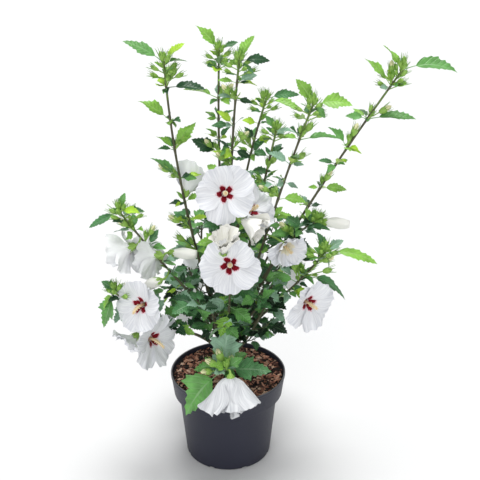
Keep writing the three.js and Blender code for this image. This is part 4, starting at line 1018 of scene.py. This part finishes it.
def add_underside(material, shader, color):
    """Gives the side that faces back a colour of its own."""
    nodes, links = material.node_tree.nodes, material.node_tree.links
    sides, geometry = nodes.new("ShaderNodeMix"), nodes.new("ShaderNodeNewGeometry")
    sides.data_type = "RGBA"
    links.new(geometry.outputs["Backfacing"], sides.inputs["Factor"])
    links.new(nodes["surface"].outputs["Color"], sides.inputs[6])
    sides.inputs[7].default_value = color
    links.new(sides.outputs[2], shader.inputs["Base Color"])


def petal_material(name, color, shade, outside=None):
    """Thin petal with fine streaks in a second shade; a blotch shows on its inner face only. A given
    outside colour paints the outer face lighter: painted light shining through the petal.
    """
    settings = {"Color": color, "Shade": shade}
    material, shader = surface_material(name, streaks, settings, bump=0.6, depth=1.2, roughness=0.6)
    shader.inputs["Specular IOR Level"].default_value = PETAL_GLOSS
    if outside:
        add_underside(material, shader, outside)
    return material


blooms, greenery = Heap(), Heap()
open_flowers = []
for name, shoot in SHOOTS.items():
    for spot in shoot.get("flowers", ()):
        axis, eye = unit(np.array(spot["faces"], float)), np.array(spot["eye"], float)
        base, root = eye - CALYX_LENGTH * axis, lines[name].at(spot["on"])
        opening, length = spot["open"], spot.get("petal", PETAL_LENGTH)
        throat = base + 0.5 * CALYX_LENGTH * axis
        if opening == 0:
            add_spindle(blooms, base + 4 * axis, axis, length, FURLED_GIRTH, IVORY, blunt=1.0)
        else:
            kind = CRIMSON if opening > EYE_SHOWS else WHITE if opening > HALF_OPEN else IVORY
            # The hanging flower takes the darker grey white: painted shade.
            kind = SHADED_WHITE if axis[2] < HANGS else kind
            add_petals(blooms, throat, axis, opening, length, kind)
            open_flowers.append((eye, axis, length * (0.62 if opening > STAMENS_SHOW else 0.45)))
        if opening > STAMENS_SHOW and length > 35:
            add_stamens(blooms, throat, axis)
        add_calyx(greenery, base, axis, CALYX_GIRTH, 0.95 * CALYX_LENGTH, SEPAL)
        gap = np.linalg.norm(base - root)
        stalk = Curve(root, base - 0.4 * gap * axis, base + axis)
        greenery.add(*tube(stalk, 0, 1, even(*STALK_RADII), sides=7, rings=10), SEPAL)

petal_finishes = [petal_material(*finish) for finish in PETAL_FINISHES]
blooms.piece("flowers", petal_finishes, slot="petals")

# ---------------------------------------------------------------------------------------------
# The twigs and leaves: each mass is its stem, side twigs by the seeded rule and finer twiglets
# on those, all with leaves. A leaf is toothed, lobed low on the plant and narrow at the top, and
# its blade is folded along its rib, pleated between its side veins and wavy at its edge.
# ---------------------------------------------------------------------------------------------
LEAF_STALK = 0.24
LEAF_DROOP = 28
LEAF_ROLL = 34
ROLL_SPREAD = 9
TWIST_SPREAD = 17
LEAF_FOLD = (0.05, 0.55)
LEAF_WAVE = (0.5, 1.8)
LEAF_WIDTH = (0.85, 1.1)
NARROW_WIDTH = (0.72, 1)
LONG_WIDTH = 0.74
PLEAT = 0.012
LONG_LEAF = 70
GROWN_LEAF = 52
# Half outlines of a blade as (half width, height), both as shares of the blade's length.
LOBED = ((0.012, 0), (0.1, 0.03), (0.2, 0.09), (0.3, 0.17), (0.28, 0.22), (0.39, 0.31), (0.35, 0.36),
         (0.44, 0.48), (0.32, 0.47), (0.22, 0.49), (0.27, 0.59), (0.19, 0.63), (0.21, 0.73),
         (0.13, 0.77), (0.13, 0.86), (0.06, 0.9), (0, 1))
NARROW = ((0.012, 0), (0.09, 0.05), (0.17, 0.12), (0.24, 0.2), (0.23, 0.26), (0.31, 0.35), (0.28, 0.4),
          (0.33, 0.5), (0.25, 0.52), (0.2, 0.56), (0.235, 0.65), (0.165, 0.68), (0.17, 0.77),
          (0.105, 0.8), (0.1, 0.88), (0.05, 0.92), (0, 1))
BLADE_COLUMNS = np.array((-1, -0.52, -0.05, 0.05, 0.52, 1))
TWIG_RULE = dict(start=0.3, over=0.68, lift=5, lift_range=35, least_reach=0.6, sag=8, rise=12)
LEAST_LEAF = 0.66
LOBED_SHARE = 0.35
EXTRA_LEAVES = 4
EXTRA_TURN = (60, 300)
EXTRA_LIFT = (0, 60)
EXTRA_LENGTH = (18, 38)
TIP_CLUSTER = 5
FLOWER_CLEARANCE = 46
TWIGLET_LENGTH = (22, 36)
TWIG_LEAVES = (
    dict(place=0.5, turn=62, tilt=-5, length=46), dict(place=0.78, turn=-58, tilt=0, length=46),
    dict(place=0.95, turn=8, tilt=-10, length=48))
# Upper face and underside of each tint, and the shares in which a kind of shoot has the tints.
TINTS = {
    "lime": ((0.40, 0.66, 0.05, 1), (0.46, 0.64, 0.16, 1)),
    "young": ((0.235, 0.49, 0.07, 1), (0.36, 0.54, 0.20, 1)),
    "bright": ((0.13, 0.345, 0.085, 1), (0.27, 0.44, 0.22, 1)),
    "mid": ((0.068, 0.205, 0.07, 1), (0.20, 0.33, 0.18, 1)),
    "deep": ((0.021, 0.08, 0.03, 1), (0.11, 0.21, 0.10, 1)),
    # Painted shade: the near-black tint stands for leaves in the shade deep inside the bush.
    "dark": ((0.004, 0.021, 0.007, 1), (0.05, 0.10, 0.045, 1)),
    # Painted sheen: a pale grey-green tint that stands in for the sheen glossy leaves show in the light.
    "painted_sheen": ((0.25, 0.42, 0.29, 1), (0.32, 0.48, 0.35, 1)),
}
# The deep kind, on the core shoots inside the bush, leans to the darker tints: painted shade.
TINT_SHARES = {
    "young": (0.14, 0.24, 0.25, 0.14, 0.08, 0, 0.15), "bright": (0.06, 0.18, 0.28, 0.22, 0.1, 0, 0.16),
    "mid": (0, 0.08, 0.24, 0.26, 0.2, 0.04, 0.18), "deep": (0, 0.04, 0.16, 0.24, 0.24, 0.14, 0.18),
    "fresh": (0, 0, 0.32, 0.28, 0, 0, 0.4)}
SHOOT_OLIVE = (0.075, 0.088, 0.034, 1)
SHOOT_GREEN = (0.13, 0.20, 0.045, 1)
LEAF_GLOSS = 0.25
LEAF_WAX = 0.12
WAX_ROUGHNESS = 0.2
LEAF_MOTTLE = {"Variation": 1.5, "Patch Scale": 50, "Grain Scale": 420}
VEIN_SLANT = 0.75
VEIN_SPACING = 46.0
VEIN_SHARPNESS = 6.0
VEIN_STRENGTH = 0.4
leaf_chance = np.random.default_rng(77)
leaf_heaps = {tint: Heap() for tint in TINTS}
twigs = Heap()


class SeededRandom:
    """The source's own generator, so that the twigs grow where the source's do."""

    def __init__(self, seed):
        self.state = seed

    def draw(self):
        """The next number from 0 to 1."""
        self.state = (self.state * 1664525 + 1013904223) % 4294967296
        return self.state / 4294967296


def in_a_flower(spot):
    """True for a place in an open flower's cup or close in front of it, where no leaf goes."""
    for eye, axis, radius in open_flowers:
        gap = spot - eye
        height = gap @ axis
        if -3 < height < FLOWER_CLEARANCE and np.linalg.norm(gap - height * axis) < radius:
            return True
    return False


def blade_template(outline):
    """Where each point of a blade lies: its share along, its share across and its pleat."""
    rows = len(outline)
    along, beside, pleat = [], [], []
    for r, (half, up) in enumerate(outline):
        rib = r / (rows - 1)
        for column in BLADE_COLUMNS:
            along.append(rib + (up - rib) * abs(column))
            beside.append(column * half)
            pleat.append((1 if r % 2 else -1) * min(1, 6 * half) if 0.3 < abs(column) < 0.9 else 0)
    return np.array(along), np.array(beside), np.array(pleat)


BLADES = {"lobed": blade_template(LOBED), "narrow": blade_template(NARROW)}
BLADE_FACES = strip_faces(len(LOBED), len(BLADE_COLUMNS))
BLADE_FINISH = [0, 0, 1, 0, 0] * (len(LOBED) - 1)


def add_leaf(root, azimuth, lift, length, droop=LEAF_DROOP, tint="mid", shape="lobed"):
    """A leaf on its stalk, bent down in an arc, its upper face turned a little to the front."""
    rise, bend = math.radians(lift), math.radians(max(droop, 1))
    level, up = heading(azimuth, 0), np.array((0.0, 0.0, 1.0))
    crosswise, reach = np.cross(level, up), length / bend
    loose = 2 if shape == "narrow" else 1
    to_front = LEAF_ROLL * math.cos(math.radians(azimuth))
    roll = math.radians(to_front + leaf_chance.normal(0, ROLL_SPREAD * loose))
    twist = math.radians(leaf_chance.normal(0, TWIST_SPREAD * loose))

    def spine(places):
        """Points of the arc at places from the stalk's foot, 0, to the leaf's tip, 1."""
        turn = rise - bend * places
        return (root + np.outer(reach * (math.sin(rise) - np.sin(turn)), level)
                + np.outer(reach * (np.cos(turn) - math.cos(rise)), up))

    fold, phase = leaf_chance.uniform(*LEAF_FOLD), leaf_chance.uniform(0, 6.28)
    wave, width = leaf_chance.uniform(*LEAF_WAVE), leaf_chance.uniform(*LEAF_WIDTH)
    if shape == "narrow":
        width *= leaf_chance.uniform(*NARROW_WIDTH) * (LONG_WIDTH if length > LONG_LEAF else 1)
    middle, tip = spine(np.array((0.6, 1.0)))
    if in_a_flower(middle) or in_a_flower(tip):
        return
    along, beside, pleat = BLADES[shape]
    places = LEAF_STALK + (1 - LEAF_STALK) * along
    turn = rise - bend * places
    top = np.outer(-np.sin(turn), level) + np.outer(np.cos(turn), up)
    lean = (roll + twist * along)[:, None]
    side = np.cos(lean) * crosswise - np.sin(lean) * top
    top = np.cos(lean) * top + np.sin(lean) * crosswise
    out = beside * width
    height = fold * np.abs(out) + PLEAT * pleat
    height = height + 0.16 * wave * np.abs(out) * np.sin(9 * places + phase + 2 * np.sign(out))
    blade = (1 - LEAF_STALK) * length
    points = spine(places) + (out * blade)[:, None] * side + (height * blade)[:, None] * top
    uv = np.stack((0.5 + beside, along), axis=1)
    heap = leaf_heaps["bright" if tint == "lime" and length > GROWN_LEAF else tint]
    heap.add(points, BLADE_FACES, BLADE_FINISH, uv)
    stalk = Curve(root, *spine(np.array((0.5 * LEAF_STALK, LEAF_STALK + 0.01))))
    thickness = 0.5 + 0.006 * length
    heap.add(*tube(stalk, 0, 1, even(thickness, 0.6 * thickness), sides=5, rings=3), 1)


def tint_of(kind, place):
    """A tint by chance from its kind's shares; the last leaves of a shoot are younger."""
    shares = np.array(TINT_SHARES[kind])
    if place > 0.95 and kind != "deep":
        shares = 0.5 * shares + 0.5 * np.array(TINT_SHARES["bright" if kind == "mid" else "young"])
    return list(TINTS)[leaf_chance.choice(len(TINTS), p=shares / shares.sum())]


def add_twiglet(line, place, azimuth, lift, length, kind):
    """A finer twig on a side twig, with a leaf to each side and one at its end."""
    root = line.at(place)
    end = root + length * heading(azimuth, lift + 10)
    twiglet = Curve(root, root + 0.5 * length * heading(azimuth, lift - 6), end)
    twigs.add(*tube(twiglet, 0, 1, even(0.9, 0.6), sides=5, rings=4), 1)
    for spot, turn in ((0.45, 60), (0.75, -60), (0.97, 5)):
        add_leaf(twiglet.at(spot), azimuth + turn + leaf_chance.normal(0, 12),
                 lift + leaf_chance.uniform(-25, 15), leaf_chance.uniform(*TWIGLET_LENGTH),
                 tint=tint_of(kind, 0))


def grow_twigs(name, shoot):
    """Side twigs a golden angle apart, by the source's rule, each with leaves and twiglets."""
    rule, random, line = TWIG_RULE, SeededRandom(shoot["seed"]), lines[name]
    for i in range(shoot["twigs"]):
        share = rule["start"] + rule["over"] * (i + 0.5) / shoot["twigs"]
        place = shoot["enters"] + (1 - shoot["enters"]) * share
        azimuth = shoot["seed"] + i * GOLDEN_ANGLE
        lift = rule["lift"] + rule["lift_range"] * random.draw()
        length = shoot["reach"] * (rule["least_reach"] + (1 - rule["least_reach"]) * random.draw())
        sizes = [LEAST_LEAF + (1 - LEAST_LEAF) * random.draw() for _ in TWIG_LEAVES]
        root = line.at(place)
        bow = root + 0.5 * length * heading(azimuth, lift - rule["sag"])
        twig = Curve(root, bow, root + length * heading(azimuth, lift + rule["rise"]))
        twigs.add(*tube(twig, 0, 1, even(1.3, 0.8), sides=6, rings=6), 1)
        for row, size in zip(TWIG_LEAVES, sizes):
            add_leaf(twig.at(row["place"]), azimuth + row["turn"], lift + row["tilt"],
                     row["length"] * size, tint=tint_of(shoot["tint"], 0),
                     shape="lobed" if leaf_chance.uniform() < LOBED_SHARE else "narrow")
        for spot, turn in ((0.3, -65), (0.62, 70)):
            add_twiglet(twig, spot, azimuth + turn, lift + leaf_chance.uniform(-20, 20), 0.5 * length,
                        shoot["tint"])


def stem_radius(shoot):
    """The source's taper of a mass's stem, with a small swelling at each leaf scar."""
    enters, scars = shoot["enters"], [row[0] for row in shoot.get("leaves", ())]
    first = ENTRY_RADIUS if enters else ENTRY_RADIUS + 0.9

    def radius(share, turn):
        """The stem's radius at a share of the way along it."""
        place = enters + (1 - enters) * share
        swelling = 1 + 0.28 * sum(math.exp(-((place - scar) / 0.008) ** 2) for scar in scars)
        return (first + (TIP_RADIUS - first) * share) * swelling
    return radius


for name, shoot in SHOOTS.items():
    line, enters, kind = lines[name], shoot["enters"], shoot["tint"]
    upper = "narrow" if kind in ("young", "bright") else "lobed"
    green_from = 0.9 if kind in ("young", "bright") else 1.0
    radius = stem_radius(shoot)
    twigs.add(*tube(line, enters, 1, radius, sides=8, rings=60), 0)
    if green_from < 1:
        green = even(TIP_RADIUS + 0.2, TIP_RADIUS + 0.1)
        twigs.add(*tube(line, green_from, 1, green, sides=8, rings=8), 2)
    for azimuth, lift, length, *droop in shoot.get("tip_leaves", ()):
        add_leaf(line.at(0.996), azimuth, lift, length, *droop, tint=tint_of(kind, 1), shape=upper)
    for place, azimuth, lift, length, *droop in shoot.get("leaves", ()):
        # A fresh shoot's leaves that point steeply up take the painted sheen tint.
        catches_sheen = kind == "fresh" and lift > 80
        add_leaf(line.at(place), azimuth, lift, length, *droop,
                 tint="painted_sheen" if catches_sheen else tint_of(kind, place), shape=upper)
        for _ in range(EXTRA_LEAVES):
            add_leaf(line.at(place), azimuth + leaf_chance.uniform(*EXTRA_TURN),
                     leaf_chance.uniform(*EXTRA_LIFT), leaf_chance.uniform(*EXTRA_LENGTH),
                     tint=tint_of(kind, place), shape=upper)
    if shoot.get("leaves"):
        for k in range(TIP_CLUSTER):
            add_leaf(line.at(0.985 - 0.008 * k), 40 + k * GOLDEN_ANGLE, 62 - 9 * k, 16 + 3.2 * k,
                     tint=tint_of(kind, 1), shape=upper)
    if shoot.get("twigs"):
        grow_twigs(name, shoot)


def make_veins():
    """A leaf's face: soft patches, and paler side veins that leave the rib at a slant."""
    group, inside, outside = new_surface_group("veins", ("Color", "Vein Color"))
    nodes, links = group.nodes, group.links
    place, parts = nodes.new("ShaderNodeUVMap"), nodes.new("ShaderNodeSeparateXYZ")
    place.uv_map = "blade"
    links.new(place.outputs["UV"], parts.inputs[0])

    def math_node(operation, first, second):
        """The result of an operation on numbers or on other nodes' results."""
        node = nodes.new("ShaderNodeMath")
        node.operation = operation
        for socket, value in zip(node.inputs, (first, second)):
            if isinstance(value, (int, float)):
                socket.default_value = value
            elif value is not None:
                links.new(value, socket)
        return node.outputs[0]

    beside = math_node("ABSOLUTE", math_node("SUBTRACT", parts.outputs["X"], 0.5), None)
    slant = math_node("SUBTRACT", parts.outputs["Y"], math_node("MULTIPLY", beside, VEIN_SLANT))
    ripple = math_node("SINE", math_node("MULTIPLY", slant, VEIN_SPACING), None)
    vein = math_node("POWER", math_node("ADD", math_node("MULTIPLY", ripple, 0.5), 0.5), VEIN_SHARPNESS)
    mottled = nodes.new("ShaderNodeGroup")
    mottled.node_tree = mottle
    for socket, value in LEAF_MOTTLE.items():
        mottled.inputs[socket].default_value = value
    links.new(inside.outputs["Color"], mottled.inputs["Color"])
    blend = nodes.new("ShaderNodeMix")
    blend.data_type = "RGBA"
    links.new(math_node("MULTIPLY", vein, VEIN_STRENGTH), blend.inputs["Factor"])
    links.new(mottled.outputs["Color"], blend.inputs[6])
    links.new(inside.outputs["Vein Color"], blend.inputs[7])
    links.new(blend.outputs[2], outside.inputs["Color"])
    links.new(math_node("SUBTRACT", mottled.outputs["Height"], vein), outside.inputs["Height"])
    return group


veins = make_veins()


def between(first, second, share):
    """A colour at a share of the way from one to another."""
    return tuple((1 - share) * a + share * b for a, b in zip(first, second))


def leaf_material(name, upper, under):
    """A waxy upper face with side veins, and a paler, duller underside."""
    settings = {"Color": upper, "Vein Color": between(upper, under, 0.45)}
    material, shader = surface_material(name, veins, settings, bump=0.8, depth=0.8, roughness=0.38)
    add_underside(material, shader, under)
    shader.inputs["Specular IOR Level"].default_value = LEAF_GLOSS
    shader.inputs["Coat Weight"].default_value = LEAF_WAX
    shader.inputs["Coat Roughness"].default_value = WAX_ROUGHNESS
    return material


for tint, (upper, under) in TINTS.items():
    leaf_finish = leaf_material(f"leaf_{tint}", upper, under)
    rib_finish, _ = mottled_material(
        f"rib_{tint}", between(upper, under, 0.55), variation=0.3, patches=60, grain=400, bump=0.1,
        roughness=0.5)
    leaf_heaps[tint].piece(f"leaves_{tint}", [leaf_finish, rib_finish], slot="foliage")
shoot_olive, _ = mottled_material(
    "shoot_olive", SHOOT_OLIVE, variation=0.8, patches=50, grain=600, bump=0.3, roughness=0.55)
shoot_green, _ = mottled_material(
    "shoot_green", SHOOT_GREEN, variation=0.6, patches=50, grain=600, bump=0.3, roughness=0.55)
twig_piece = twigs.piece("twigs", [bark_olive, shoot_olive, shoot_green], slot="bark")
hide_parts(*(f"mass_{name}" for name in SHOOTS))

# ---------------------------------------------------------------------------------------------
# The buds: plump green buds in clusters at each shoot's end and at its nodes, each in its calyx
# with a ring of thin bracts. The ripest show a tip of cream petal.
# ---------------------------------------------------------------------------------------------
BUD_LENGTH = 14
BUD_RADIUS = 3.6
TIP_BUDS = {"young": 11, "bright": 11, "mid": 9, "fresh": 2}
SMALL_BUDS = 3
RIPE_SHARE = 0.5
STOUT, STOUTEST = 1.25, 1.5
SEPAL_GREEN = (0.27, 0.46, 0.085, 1)
BUD_CREAM = (0.74, 0.72, 0.42, 1)
BRACT_GREEN = (0.16, 0.36, 0.05, 1)
bud_chance = np.random.default_rng(303)


def add_bud(root, azimuth, lift, stalk, size, ripe=False, stout=1.0):
    """A bud on its stalk; a ripe one has a tip of cream petal, and a stout one is rounder."""
    out = heading(azimuth, lift)
    neck = root + stalk * out
    girth, length = BUD_RADIUS * size * stout, BUD_LENGTH * size
    stem = Curve(root, root + 0.5 * stalk * out, neck)
    greenery.add(*tube(stem, 0, 1, even(0.8, 0.9), sides=5, rings=2), SEPAL)
    if ripe:
        add_spindle(greenery, neck + 0.3 * length * out, out, length, 0.8 * girth, RIPE_TIP)
    add_spindle(greenery, neck, out, length, girth, SEPAL, folds=0.07, twist=0)
    add_calyx(greenery, neck, out, 0.75 * girth, 0.55 * length, BRACT, bracts=9, bract_reach=2.3)


for name, shoot in SHOOTS.items():
    line = lines[name]
    alone = shoot["tint"] == "fresh"
    for place, azimuth, lift, stalk in shoot.get("buds", ()):
        add_bud(line.at(place), azimuth, lift, stalk, bud_chance.uniform(0.95, 1.15),
                alone or bud_chance.uniform() < RIPE_SHARE, STOUTEST if alone else STOUT)
        for k in range(0 if alone else SMALL_BUDS):
            add_bud(line.at(place), azimuth + bud_chance.uniform(30, 75) * (-1) ** k, lift + 18 - 12 * k,
                    0.6 * stalk, bud_chance.uniform(0.6, 0.9))
    if shoot.get("leaves"):
        for k in range(TIP_BUDS[shoot["tint"]]):
            add_bud(line.at(0.998 - 0.005 * k), 60 + k * GOLDEN_ANGLE, max(25, 84 - 11 * k), 4 + 1.2 * k,
                    bud_chance.uniform(0.75, 1.05))

sepal_green, _ = mottled_material(
    "sepal_green", SEPAL_GREEN, variation=0.7, patches=120, grain=700, bump=0.2, roughness=0.5)
bud_cream, _ = mottled_material(
    "bud_cream", BUD_CREAM, variation=0.2, patches=90, grain=500, bump=0.2, roughness=0.55)
bract_green, _ = mottled_material(
    "bract_green", BRACT_GREEN, variation=0.7, patches=120, grain=700, bump=0.2, roughness=0.5)
greenery.piece("buds_and_calyces", [sepal_green, bud_cream, bract_green], slot="foliage")
